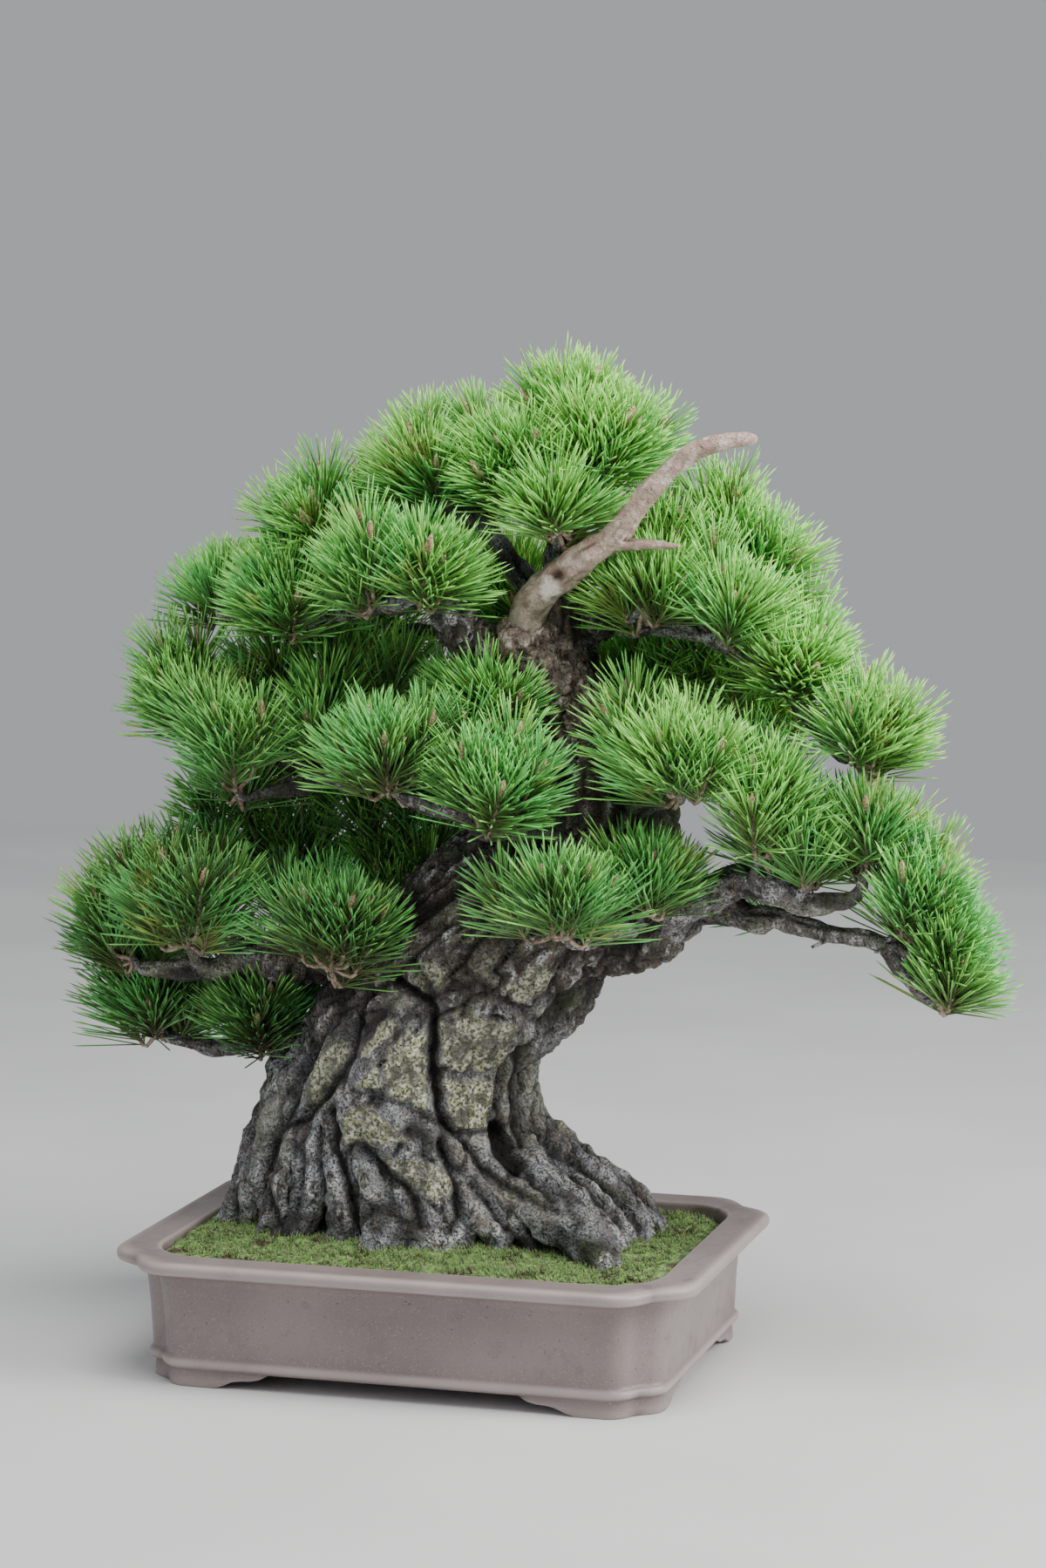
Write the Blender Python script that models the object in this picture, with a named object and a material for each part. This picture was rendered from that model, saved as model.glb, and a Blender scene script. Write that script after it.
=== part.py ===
"""Pine bonsai: an old pine with a fluted root base in a shallow stoneware pot.

Metres, +Z up. X runs along the pot's long side, the front of the tree faces -Y and the
feet of the pot stand on Z = 0. Places on the tree are given in millimetres as (x, z, y):
x and z as they are seen from the front in the plane through the middle of the pot, and y
as the depth behind that plane. The whole model is centred on its own outline at the end.
"""
import itertools
import math

import bmesh
import bpy
import numpy as np
from mathutils import Matrix

MM = 0.001
GAP = 0.3 * MM
EYE = np.array((0.90, -2.87, 0.80))
UP = np.array((0.0, 0.0, 1.0))

RIM_LENGTH = 0.460
RIM_WIDTH = 0.346
RIM_HEIGHT = 0.101
FLOOR_HEIGHT = 0.024
UNDERSIDE_HEIGHT = 0.013
OPENING_INSET = 0.031
FLOOR_INSET = 0.036
CAVITY_CORNER = 0.045
FOOT_RECESS_INSET = 0.042
LOBE_TURN = math.radians(58)
DRAIN_RADIUS = 0.014
DRAIN_PLACES = {"left": -0.095, "right": 0.095}
SCREEN_SIDE = 0.040
SCREEN_THICKNESS = 0.0012
SCREEN_HOLE = 0.012
SOIL_TOP = 0.080
ROOT_CENTRE = (-0.030, 0.035)
ROOT_BALL_RADIUS = 0.068
ROOT_BALL_BOTTOM = 0.045
ROOT_BALL_TOP = 0.125
THIN_LIMB = 0.0105

NEEDLE_LENGTH = 0.052
NEEDLE_FOOT = 0.0046
NEEDLE_SHARE = (4, 9)
SHARE_STEP = 7
FOOT_LEAN = 80.0
LEAN_STEP = 22.0
SHOOT_LENGTH = 0.026
SHOOT_SHARE = 0.5
SHOOT_RADIUS = 0.0015
SHOOT_BANDS = 3
BUD_LENGTH = 0.010
TWIG_RADIUS = 0.0019
TWIG_TURN = 0.8
STUB_LENGTH = 0.009
STUB_RADIUS = 0.0030

# How a needle that would touch another is bent, in degrees: aside, and off its shoot.
NEEDLE_TRIES = ((0, 0), (16, 0), (-16, -8), (32, -8), (-32, 8), (8, -14), (-8, 12))

# The pot's outer wall from the feet up to the rim: height, inset from the rim's outline,
# and how far the crease of each corner stands in from the two sides.
POT_PROFILE = (
    (0.0, 27, 17), (13.0, 28, 17), (14.7, 25.5, 17), (17, 23.5, 17), (20.5, 23.5, 17),
    (23, 26, 17), (55, 25, 17), (80, 23, 17), (87, 19, 18), (91, 7, 23), (91.5, 1.5, 25),
    (93, 0, 26), (98.5, 0, 26), (101, 2, 26))

# The gap between two feet, as half an outline: distance from the middle and height.
FOOT_GAP_FRONT = ((138, -2), (134, 3), (126, 6.5), (110, 7.5), (103, 10), (100, 13))
FOOT_GAP_SIDE = ((97, -2), (93, 3), (86, 6.5), (70, 7.5), (63, 10), (60, 13))

# The main trunk: x, z, depth and radius.
TRUNK = (
    (-19, 76, 35, 78), (-19, 108, 35, 80), (-30, 160, 32, 84), (-34, 205, 28, 84),
    (-28, 245, 25, 80), (-2, 285, 24, 80), (34, 322, 24, 80), (72, 360, 24, 70),
    (110, 398, 24, 55), (131, 432, 22, 44), (127, 468, 20, 36), (110, 500, 15, 29),
    (92, 528, 12, 22), (90, 545, 12, 16))

# The root base: half width, half depth and middle of the flare at each height.
FLARE_HEIGHTS = (0.092, 0.106, 0.130, 0.168, 0.220, 0.275)
FLARE_HALF_WIDTHS = (0.178, 0.170, 0.152, 0.128, 0.106, 0.078)
FLARE_HALF_DEPTHS = (0.108, 0.103, 0.095, 0.086, 0.078, 0.062)
FLARE_MIDDLES = (-0.020, -0.022, -0.030, -0.041, -0.044, -0.013)
STRAND_SWELL = (0.55, 0.9, 1.15, 1.42, 1.65, 1.25)
STRAND_TWIST = 14.0
REACH_LEVELS = 3

# Surface roots round the base: bearing in degrees, reach against the flare, radius.
ROOTS = (
    (205, 1.05, 13), (221, 0.95, 14), (235, 0.98, 12), (249, 0.96, 14), (262, 0.98, 13),
    (273, 1.00, 12), (284, 0.95, 13), (297, 0.92, 14), (313, 1.45, 15), (332, 1.08, 14),
    (355, 1.00, 15), (22, 1.10, 15), (50, 1.12, 15), (80, 1.00, 16), (110, 0.97, 16),
    (138, 1.00, 15), (162, 0.97, 15), (184, 0.95, 14))

# Limbs of live wood: x, z, depth and radius along each.
LIMBS = {
    "leader": (
        (92, 520, 12, 22), (92, 550, 13, 17), (94, 580, 15, 15), (90, 615, 12, 13),
        (93, 655, 4, 11), (99, 690, 0, 9), (102, 706, 0, 6)),
    "jin_base": ((90, 512, 6, 20), (72, 532, -10, 18), (64, 553, -21, 16), (64, 572, -27, 15)),
    "left_upper": (
        (80, 518, 10, 15), (52, 538, -5, 13), (29, 553, -18, 12), (5, 575, -35, 12),
        (-10, 590, -46, 10), (-24, 594, -52, 8), (-42, 589, -54, 6), (-56, 588, -56, 4)),
    "left_shoulder": (
        (-14, 592, -44, 8), (-55, 586, -22, 6.5), (-95, 579, -8, 5.5), (-130, 574, 4, 5),
        (-160, 578, 24, 4.5), (-176, 580, 36, 4)),
    "crown_left": (
        (92, 572, 15, 12), (66, 602, 18, 9), (45, 634, 18, 8), (22, 655, 8, 7),
        (-6, 664, 0, 6), (-45, 662, 10, 5), (-76, 652, 14, 4)),
    "right_upper": (
        (94, 528, 16, 17), (94, 548, 20, 15), (98, 565, 21, 13), (110, 578, 18, 12),
        (130, 584, 10, 11), (153, 580, 0, 9), (180, 576, -8, 8), (208, 570, -10, 7),
        (240, 553, -5, 6.5), (268, 526, 0, 6), (292, 498, -6, 5.5), (308, 482, -10, 4.5)),
    "right_shoulder": ((172, 578, -6, 7), (192, 586, 12, 6), (208, 592, 28, 4.5)),
    "left_middle": (
        (118, 476, 20, 20), (80, 468, 10, 16), (40, 461, 5, 13), (0, 457, 5, 12),
        (-50, 454, 4, 10), (-100, 450, 0, 8.5), (-140, 443, -8, 6.5), (-160, 437, -16, 5)),
    "left_outer": (
        (-92, 451, 2, 7), (-130, 465, 18, 6.5), (-165, 480, 30, 5.5), (-186, 488, 34, 4.5)),
    "centre_left": (
        (125, 436, 10, 18), (95, 430, -22, 14), (62, 422, -50, 11), (30, 418, -66, 9),
        (-8, 430, -74, 7), (-36, 440, -76, 5)),
    "centre_right": ((140, 436, 4, 14), (160, 442, -30, 9), (178, 447, -52, 5.5)),
    "right_low": (
        (95, 350, 15, 36), (125, 345, 8, 31), (150, 344, 2, 26), (172, 351, -5, 22),
        (198, 369, -10, 18), (226, 381, -14, 14), (246, 379, -18, 12), (266, 373, -20, 10),
        (286, 371, -22, 9), (312, 371, -24, 7.5), (324, 377, -24, 6), (327, 386, -24, 5)),
    "right_tip": (
        (178, 356, 0, 15), (205, 362, 2, 13), (228, 362, 0, 12), (253, 356, -3, 9.5),
        (273, 352, -6, 8), (300, 347, -8, 7), (333, 345, -10, 6.5), (347, 337, -12, 6),
        (357, 321, -14, 5.5), (370, 307, -15, 5), (380, 300, -15, 4)),
    "right_end": ((326, 345, -10, 6), (348, 340, -12, 5), (366, 333, -14, 4)),
    "left_low": (
        (-30, 325, 30, 34), (-78, 322, 28, 25), (-118, 316, 22, 19), (-150, 307, 12, 15),
        (-178, 301, 5, 12), (-215, 297, 0, 9.5), (-240, 294, 4, 7.5), (-254, 295, 10, 5)),
    "left_under": (
        (-100, 315, 34, 16), (-126, 288, 50, 12), (-143, 256, 58, 10), (-175, 240, 58, 8),
        (-212, 236, 56, 6.5), (-232, 240, 54, 4.5)),
    "left_front": ((-40, 312, 0, 18), (-70, 305, -28, 10), (-86, 299, -44, 6)),
    "front_low": (
        (158, 350, -8, 12), (148, 346, -40, 8), (128, 339, -72, 6), (108, 331, -92, 5),
        (99, 330, -98, 4)),
    "back_low": ((45, 345, 50, 24), (50, 366, 92, 14), (55, 380, 122, 8), (58, 386, 136, 5)),
    "back_left_low": (
        (0, 322, 55, 22), (-26, 340, 86, 13), (-48, 350, 104, 8), (-84, 356, 108, 6),
        (-108, 360, 106, 4.5)),
    "back_middle": ((128, 442, 36, 20), (131, 456, 75, 12), (137, 470, 104, 7), (139, 478, 116, 5)),
    "back_right": ((131, 454, 70, 10), (165, 474, 90, 7), (200, 486, 96, 5.5), (216, 490, 97, 4.5)),
    "right_behind": ((215, 374, -2, 11), (240, 382, 35, 7), (256, 389, 56, 4.5)),
    "back_left": ((30, 459, 8, 12), (-5, 463, 48, 8), (-36, 470, 82, 6.5), (-52, 473, 96, 4.5)),
    "back_upper": ((92, 556, 16, 14), (83, 566, 55, 9), (70, 576, 88, 6.5), (63, 580, 99, 5)),
    "back_left_upper": (
        (78, 570, 68, 8), (25, 570, 84, 6.5), (-35, 570, 90, 5.5), (-66, 573, 90, 4.5)),
}

JIN = (
    (64, 574, -27.6, 14.5), (66, 588, -31, 14.5), (78, 606, -36, 13), (95, 624, -40, 12),
    (112, 638, -44, 10.5), (129, 651, -47, 9.5), (156, 684, -52, 8), (187, 710, -55, 7),
    (217, 720, -56, 6), (235, 721, -56, 4.5), (242, 720, -56, 2.5))
JIN_SPUR = ((122, 644, -46, 7), (140, 640, -48, 5), (165, 638, -50, 3.6), (184, 637, -50, 1.8))

# Sprays of needles: the limb that bears each, where its branchlet ends, and where its
# shoots end, all as x, z and depth.
SPRAYS = {
    "apex_crown": ("leader", (102, 716, 2), (
        (97, 757, 0), (133, 750, -6), (62, 750, 6), (112, 748, 44))),
    "apex_front": ("leader", (110, 698, -22), (
        (102, 744, -46), (145, 738, -42), (170, 732, -2), (148, 706, -62))),
    "apex_back": ("leader", (106, 702, 28), ((78, 742, 68), (130, 733, 76), (166, 718, 48))),
    "apex_left": ("leader", (62, 688, -12), (
        (69, 719, -56), (38, 718, -46), (15, 740, 0), (24, 694, -64))),
    "crown_left": ("crown_left", (-8, 676, -6), (
        (-31, 724, -10), (-9, 700, -50), (-52, 704, 26))),
    "crown_centre": ("leader", (88, 652, -46), ((88, 690, -84), (56, 672, -72), (126, 676, -72))),
    "crown_back": ("crown_left", (24, 664, 46), ((2, 700, 84), (48, 712, 84), (-42, 690, 76))),
    "left_shoulder": ("crown_left", (-90, 650, 14), (
        (-102, 692, 14), (-146, 665, 10), (-116, 655, -34))),
    "left_outer_top": ("left_shoulder", (-128, 578, -10), (
        (-134, 619, -26), (-160, 594, -28), (-122, 596, -56), (-158, 622, 14))),
    "left_upper_front": ("left_upper", (-58, 592, -62), (
        (-70, 656, -72), (-62, 645, -100), (-92, 622, -84))),
    "left_upper_centre": ("left_upper", (-26, 600, -60), (
        (-23, 646, -72), (-16, 636, -104), (10, 626, -82))),
    "left_outer_back": ("left_shoulder", (-188, 584, 44), ((-190, 625, 58), (-216, 600, 46),
                                                         (-172, 606, 84))),
    "left_outer": ("left_outer", (-198, 494, 34), ((-232, 540, 38), (-236, 512, 14),
                                                  (-214, 528, 72))),
    "left_middle_front": ("left_middle", (-172, 440, -22), (
        (-210, 520, -26), (-192, 508, -54), (-152, 505, -52), (-168, 522, 4))),
    "left_middle_inner": ("left_middle", (-98, 476, -6), (
        (-102, 534, 0), (-116, 502, -36), (-90, 552, 42))),
    "centre_left_outer": ("centre_left", (-46, 450, -82), (
        (-64, 506, -86), (-52, 486, -118), (-15, 500, -92), (-88, 478, -92))),
    "centre_left_inner": ("centre_left", (24, 430, -84), (
        (12, 508, -78), (12, 476, -120), (56, 492, -92), (76, 468, -104), (44, 450, -130))),
    "centre_upper": ("left_upper", (34, 508, -34), ((28, 542, -44), (0, 530, -22), (58, 522, -56))),
    "left_low_front": ("left_low", (-214, 318, -44), (
        (-236, 384, -46), (-203, 374, -80), (-176, 372, -42), (-262, 358, -44))),
    "left_low_inner": ("left_front", (-98, 304, -60), (
        (-78, 358, -92), (-118, 360, -84), (-96, 376, -50), (-54, 344, -72))),
    "left_low_tip": ("left_low", (-262, 303, 16), (
        (-276, 374, 8), (-290, 342, 14), (-276, 328, 48))),
    "left_low_under": ("left_under", (-240, 249, 54), (
        (-236, 290, 40), (-266, 286, 66), (-222, 276, 88), (-274, 302, 38))),
    "left_low_back": ("back_left_low", (-118, 368, 108), (
        (-121, 418, 112), (-160, 400, 104), (-86, 402, 134))),
    "left_back_centre": ("back_left_low", (-50, 368, 112), (
        (-52, 410, 122), (-60, 384, 82), (-20, 400, 142))),
    "left_under_inner": ("left_under", (-154, 246, 32), ((-146, 288, 2), (-180, 284, 20),
                                                        (-158, 262, -12))),
    "front_low": ("front_low", (92, 338, -108), (
        (76, 386, -120), (110, 388, -114), (36, 378, -98), (134, 378, -88))),
    "front_low_right": ("front_low", (156, 360, -58), ((164, 404, -72), (138, 402, -50),
                                                      (190, 398, -50))),
    "centre_right_front": ("centre_right", (186, 454, -66), (
        (168, 496, -94), (192, 512, -62), (216, 488, -86), (148, 478, -60))),
    "centre_right_outer": ("right_low", (246, 408, -40), (
        (262, 478, -52), (238, 496, -40), (240, 448, -86), (276, 452, -28))),
    "right_upper_inner": ("right_upper", (154, 592, -26), (
        (152, 628, -58), (182, 650, -22), (186, 611, -66))),
    "right_upper_middle": ("right_upper", (216, 576, -24), (
        (209, 643, -10), (226, 602, -62), (246, 606, -22))),
    "right_upper_top": ("right_shoulder", (216, 604, 38), (
        (226, 676, 34), (253, 656, 32), (275, 634, 30))),
    "right_shoulder": ("right_upper", (270, 548, 14), (
        (292, 572, 2), (257, 562, -36), (290, 550, -34), (282, 584, 46))),
    "right_outer": ("right_upper", (318, 482, -12), (
        (328, 543, 10), (314, 520, -38), (351, 524, -16), (356, 500, 20))),
    "right_low_middle": ("right_low", (284, 386, -24), (
        (276, 424, -44), (302, 420, -12), (258, 416, 10))),
    "right_low_twig": ("right_low", (329, 400, -24), ((328, 450, -32), (352, 438, 0),
                                                     (308, 440, 14))),
    "right_end_top": ("right_end", (354, 350, -14), (
        (378, 418, -2), (386, 400, -36), (358, 396, -48))),
    "right_end": ("right_end", (376, 332, -14), ((388, 378, -30), (398, 360, 2),
                                                (399, 348, -36))),
    "right_tip": ("right_tip", (386, 301, -15), ((402, 328, -32), (401, 318, 6), (384, 338, 12))),
    "right_low_back": ("right_behind", (266, 396, 68), ((290, 448, 70), (254, 440, 90),
                                                       (312, 426, 58))),
    "back_low": ("back_low", (60, 396, 146), ((60, 446, 150), (20, 428, 166), (100, 438, 170))),
    "back_middle": ("back_middle", (140, 488, 126), (
        (150, 540, 130), (108, 530, 150), (136, 500, 178))),
    "back_right": ("back_right", (228, 496, 99), ((250, 548, 96), (218, 524, 132),
                                                 (284, 520, 82))),
    "back_left_middle": ("back_left", (-60, 478, 106), (
        (-60, 530, 110), (-104, 512, 118), (-20, 520, 138), (-124, 484, 92))),
    "back_upper": ("back_upper", (58, 588, 108), (
        (50, 640, 114), (98, 632, 124), (10, 618, 132))),
    "back_left_upper": ("back_left_upper", (-81, 581, 95), (
        (-78, 626, 99), (-122, 608, 100), (-42, 604, 118))),
    "inner_right": ("back_middle", (136, 500, 76), ((130, 548, 64), (176, 548, 66),
                                                   (106, 540, 86))),
}


def seen(x, z, y):
    """A place given as it is seen from the front: it lies on the line from the eye through
    (x, 0, z), where that line reaches the depth y. Millimetres in, metres out."""
    start = np.array((x * MM, 0.0, z * MM))
    return EYE + (start - EYE) * (y * MM - EYE[1]) / (0.0 - EYE[1])


def unit(vector):
    """A vector of length 1 in the same direction."""
    return np.asarray(vector) / np.linalg.norm(vector)


def colour(name, rgb, roughness):
    """A plain surface of one colour."""
    material = bpy.data.materials.new(name)
    material.use_nodes = True
    shader = material.node_tree.nodes["Principled BSDF"]
    shader.inputs["Base Color"].default_value = (*rgb, 1.0)
    shader.inputs["Roughness"].default_value = roughness
    shader.inputs["Metallic"].default_value = 0.0
    material.diffuse_color = (*rgb, 1.0)
    return material


def add_object(name, mesh, collection):
    """Put a mesh into the scene under its name."""
    item = bpy.data.objects.new(name, mesh)
    collection.objects.link(item)
    return item


def take_object(name, collection):
    """Name the primitive that was just added and lay its place and size into its mesh."""
    item = bpy.context.object
    item.name = name
    for group in list(item.users_collection):
        group.objects.unlink(item)
    collection.objects.link(item)
    item.data.transform(item.matrix_basis)
    item.matrix_basis = Matrix.Identity(4)
    return item


def mesh_from(name, vertices, faces):
    """A mesh from corner points and faces, with its faces turned outwards."""
    mesh = bpy.data.meshes.new(name)
    mesh.from_pydata([tuple(map(float, v)) for v in vertices], [], faces)
    form = bmesh.new()
    form.from_mesh(mesh)
    bmesh.ops.recalc_face_normals(form, faces=form.faces)
    form.to_mesh(mesh)
    form.free()
    return mesh


def split_faces(mesh):
    """Cut a mesh's faces into triangles, the long way round where the short one lays two
    cuts on one line. Returns whether every edge then lies between exactly two faces."""
    for way in ("BEAUTY", "EAR_CLIP"):
        form = bmesh.new()
        form.from_mesh(mesh)
        bmesh.ops.triangulate(form, faces=form.faces, ngon_method=way)
        closed = all(len(edge.link_faces) == 2 for edge in form.edges)
        if closed or way == "EAR_CLIP":
            form.to_mesh(mesh)
        form.free()
        if closed:
            return True
    return False


def apply_boolean(target, operation, other):
    """Cut or join a solid with one cutter, or with every solid of a collection. The exact
    solver comes first, and the manifold solver where its result is not closed."""
    for solver in ("EXACT", "MANIFOLD"):
        modifier = target.modifiers.new("join", "BOOLEAN")
        modifier.operation = operation
        modifier.solver = solver
        if isinstance(other, bpy.types.Collection):
            modifier.operand_type = "COLLECTION"
            modifier.collection = other
        else:
            modifier.object = other
        bpy.context.view_layer.update()
        graph = bpy.context.evaluated_depsgraph_get()
        mesh = bpy.data.meshes.new_from_object(target.evaluated_get(graph))
        target.modifiers.clear()
        if split_faces(mesh):
            break
    target.data = mesh


def one_body(item):
    """Keep a solid's outer body: loose scraps are dropped and sealed hollows filled."""
    form = bmesh.new()
    form.from_mesh(item.data)
    islands = []
    unseen = set(form.verts)
    while unseen:
        start = unseen.pop()
        island, border = [start], [start]
        while border:
            for edge in border.pop().link_edges:
                for vertex in edge.verts:
                    if vertex in unseen:
                        unseen.discard(vertex)
                        island.append(vertex)
                        border.append(vertex)
        islands.append(island)
    islands.sort(key=len)
    scraps = [vertex for island in islands[:-1] for vertex in island]
    bmesh.ops.delete(form, geom=scraps, context="VERTS")
    form.to_mesh(item.data)
    form.free()


def remove_all(items):
    """Remove solids that have been joined into another."""
    for item in list(items):
        bpy.data.objects.remove(item, do_unlink=True)


def corner_lobes(notch):
    """Half a pot corner, as insets from its two sides: an arc off the side, then a straight
    run to the notch on the diagonal, where the two halves meet in a crease."""
    radius = notch * 1.1
    along = radius * math.sin(LOBE_TURN)
    inward = radius * (1 - math.cos(LOBE_TURN))
    start = notch + (notch - inward) / math.tan(LOBE_TURN) + along
    turns = [LOBE_TURN * k / 2 for k in range(3)]
    half = [(start - radius * math.sin(t), radius * (1 - math.cos(t))) for t in turns]
    return half + [(notch, notch)] + [(v, u) for u, v in reversed(half)]


def corner_round(radius):
    """A plain quarter round, as insets from its two sides."""
    turns = [math.pi / 2 * k / 4 for k in range(5)]
    return [(radius * (1 - math.sin(t)), radius * (1 - math.cos(t))) for t in turns]


def pot_ring(inset, corner, z):
    """One closed ring round the pot at a height, counter-clockwise from above."""
    half_x, half_y = RIM_LENGTH / 2 - inset, RIM_WIDTH / 2 - inset
    points = []
    for side_x, side_y in ((1, 1), (-1, 1), (-1, -1), (1, -1)):
        run = corner if side_x * side_y < 0 else corner[::-1]
        points += [(side_x * (half_x - u), side_y * (half_y - v), z) for u, v in run]
    return points


def stack_rings(name, rings, collection):
    """A closed solid through rings that have the same number of points."""
    count = len(rings[0])
    vertices = [point for ring in rings for point in ring]
    faces = [list(range(count)), list(range(len(vertices) - count, len(vertices)))]
    for level in range(len(rings) - 1):
        low = level * count
        for k in range(count):
            after = (k + 1) % count
            faces.append((low + k, low + after, low + count + after, low + count + k))
    return add_object(name, mesh_from(name, vertices, faces), collection)


def cavity_inset(z):
    """How far the pot's inner wall stands in from the rim's outline at a height."""
    share = (RIM_HEIGHT - z) / (RIM_HEIGHT - FLOOR_HEIGHT)
    return OPENING_INSET + (FLOOR_INSET - OPENING_INSET) * share


def cavity_block(name, clearance, bottom, top, collection):
    """The inside of the pot between two heights, a clearance away from its walls."""
    rings = [pot_ring(cavity_inset(z) + clearance, corner_round(CAVITY_CORNER), z)
             for z in (bottom, top)]
    return stack_rings(name, rings, collection)


def cylinder(name, radius, bottom, top, x, y, sides, collection):
    """An upright cylinder between two heights."""
    bpy.ops.mesh.primitive_cylinder_add(
        vertices=sides, radius=radius, depth=top - bottom, location=(x, y, (top + bottom) / 2))
    return take_object(name, collection)


def box(name, size, centre, collection):
    """A plain box."""
    bpy.ops.mesh.primitive_cube_add(size=1, location=centre, scale=size)
    return take_object(name, collection)


def foot_gap(name, half_outline, along_x, collection):
    """The gap between two feet, cut right through under the pot."""
    outline = [(u * MM, z * MM) for u, z in half_outline]
    outline += [(-u, z) for u, z in reversed(outline)]
    reach = RIM_LENGTH
    if along_x:
        rings = [[(side * reach, u, z) for u, z in outline] for side in (-1, 1)]
    else:
        rings = [[(u, side * reach, z) for u, z in outline] for side in (-1, 1)]
    return stack_rings(name, rings, collection)


def make_pot(parts, cutters):
    """A shallow stoneware pot: a wide flat rim, creased corners, a belt, four cloud feet."""
    rings = [pot_ring(inset * MM, corner_lobes(notch * MM), z * MM)
             for z, inset, notch in POT_PROFILE]
    pot = stack_rings("pot", rings, parts)
    tools = [
        cavity_block("cavity", 0.0, FLOOR_HEIGHT, RIM_HEIGHT + 0.02, cutters),
        foot_gap("front_foot_gap", FOOT_GAP_FRONT, False, cutters),
        foot_gap("side_foot_gap", FOOT_GAP_SIDE, True, cutters),
        stack_rings("foot_recess", [pot_ring(FOOT_RECESS_INSET, corner_round(CAVITY_CORNER), z)
                                    for z in (-0.01, UNDERSIDE_HEIGHT)], cutters)]
    for side, x in DRAIN_PLACES.items():
        tools.append(cylinder("drain_" + side, DRAIN_RADIUS, 0.0, FLOOR_HEIGHT + 0.01,
                              x, 0.0, 20, cutters))
    for tool in tools:
        apply_boolean(pot, "DIFFERENCE", tool)
    one_body(pot)
    remove_all(tools)
    return pot


def make_screens(parts, cutters):
    """A square of plastic mesh over each drain hole, held down by the soil."""
    screens = []
    middle = FLOOR_HEIGHT + GAP + SCREEN_THICKNESS / 2
    pitch = SCREEN_SIDE / 4.4
    for side, x in DRAIN_PLACES.items():
        screen = box("drain_screen_" + side, (SCREEN_SIDE, SCREEN_SIDE, SCREEN_THICKNESS),
                     (x, 0.0, middle), parts)
        holes = [box("screen_hole", (SCREEN_HOLE, SCREEN_HOLE, 4 * SCREEN_THICKNESS),
                     (x + column * pitch, row * pitch, middle), cutters)
                 for column in (-1, 1) for row in (-1, 1)]
        apply_boolean(screen, "DIFFERENCE", cutters)
        one_body(screen)
        remove_all(holes)
        screens.append(screen)
    return screens


def ground_height(x, y):
    """The top of the moss: nearly level with the rim, raised towards the roots and a little
    lower at the back right."""
    mound = 0.008 * np.exp(-((x + 0.02) / 0.15) ** 2 - ((y - 0.03) / 0.09) ** 2)
    hollow = 0.006 / (1 + np.exp(-(x - 0.10) / 0.03)) / (1 + np.exp(-(y - 0.02) / 0.03))
    return 0.0965 + mound - hollow


def ground_slab(name, lift, bottom, collection):
    """A slab under the moss's top surface, wider than the pot's opening."""
    bpy.ops.mesh.primitive_grid_add(x_subdivisions=16, y_subdivisions=11, size=1,
                                    scale=(RIM_LENGTH, RIM_WIDTH, 1))
    slab = take_object(name, collection)
    form = bmesh.new()
    form.from_mesh(slab.data)
    sheet = bmesh.ops.extrude_face_region(form, geom=form.faces)["geom"]
    raised = [item for item in sheet if isinstance(item, bmesh.types.BMVert)]
    for vertex in form.verts:
        vertex.co.z = bottom
    for vertex in raised:
        vertex.co.z = ground_height(vertex.co.x, vertex.co.y) + lift
    bmesh.ops.dissolve_limit(form, angle_limit=0.001, verts=[
        v for v in form.verts if v.co.z == bottom], edges=[])
    bmesh.ops.triangulate(form, faces=form.faces, quad_method="FIXED")
    bmesh.ops.recalc_face_normals(form, faces=form.faces)
    form.to_mesh(slab.data)
    form.free()
    return slab


def make_ground(parts, cutters):
    """Soil up to a level below the rim, and a mat of moss on it; both leave a plain round
    hole for the root ball."""
    soil = cavity_block("soil", GAP, FLOOR_HEIGHT + GAP, SOIL_TOP, parts)
    moss = ground_slab("moss", 0.0, SOIL_TOP + GAP, parts)
    opening = cavity_block("opening", GAP, 0.0, 0.2, cutters)
    apply_boolean(moss, "INTERSECT", opening)
    hole = cylinder("root_hole", ROOT_BALL_RADIUS + GAP, ROOT_BALL_BOTTOM - GAP, 0.2,
                    *ROOT_CENTRE, 24, cutters)
    apply_boolean(moss, "DIFFERENCE", hole)
    apply_boolean(soil, "DIFFERENCE", hole)
    pockets = [box("screen_pocket", (SCREEN_SIDE + 2 * GAP, SCREEN_SIDE + 2 * GAP,
                                     2 * (SCREEN_THICKNESS + 2 * GAP)),
                   (x, 0.0, FLOOR_HEIGHT), cutters) for x in DRAIN_PLACES.values()]
    for pocket in pockets:
        apply_boolean(soil, "DIFFERENCE", pocket)
    one_body(soil)
    one_body(moss)
    remove_all([opening, hole, *pockets])
    return soil, moss


def wood_route(rows):
    """Places and radii in metres along a limb given as (x, z, y, radius)."""
    return np.array([(*seen(x, z, y), radius * MM) for x, z, y, radius in rows])


def tube(name, route, resolution, collection):
    """A solid tube along rows of (x, y, z, radius), with flat closed ends."""
    curve = bpy.data.curves.new(name, "CURVE")
    curve.dimensions = "3D"
    curve.bevel_depth = 1.0
    curve.bevel_resolution = resolution
    curve.use_fill_caps = True
    spline = curve.splines.new("POLY")
    spline.points.add(len(route) - 1)
    for point, row in zip(spline.points, route):
        point.co = (*row[:3], 1.0)
        point.radius = row[3]
    guide = bpy.data.objects.new(name, curve)
    collection.objects.link(guide)
    bpy.context.view_layer.update()
    graph = bpy.context.evaluated_depsgraph_get()
    mesh = bpy.data.meshes.new_from_object(guide.evaluated_get(graph))
    bpy.data.objects.remove(guide, do_unlink=True)
    form = bmesh.new()
    form.from_mesh(mesh)
    bmesh.ops.remove_doubles(form, verts=form.verts, dist=0.01 * MM)
    bmesh.ops.recalc_face_normals(form, faces=form.faces)
    form.to_mesh(mesh)
    form.free()
    return add_object(name, mesh, collection)


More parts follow.
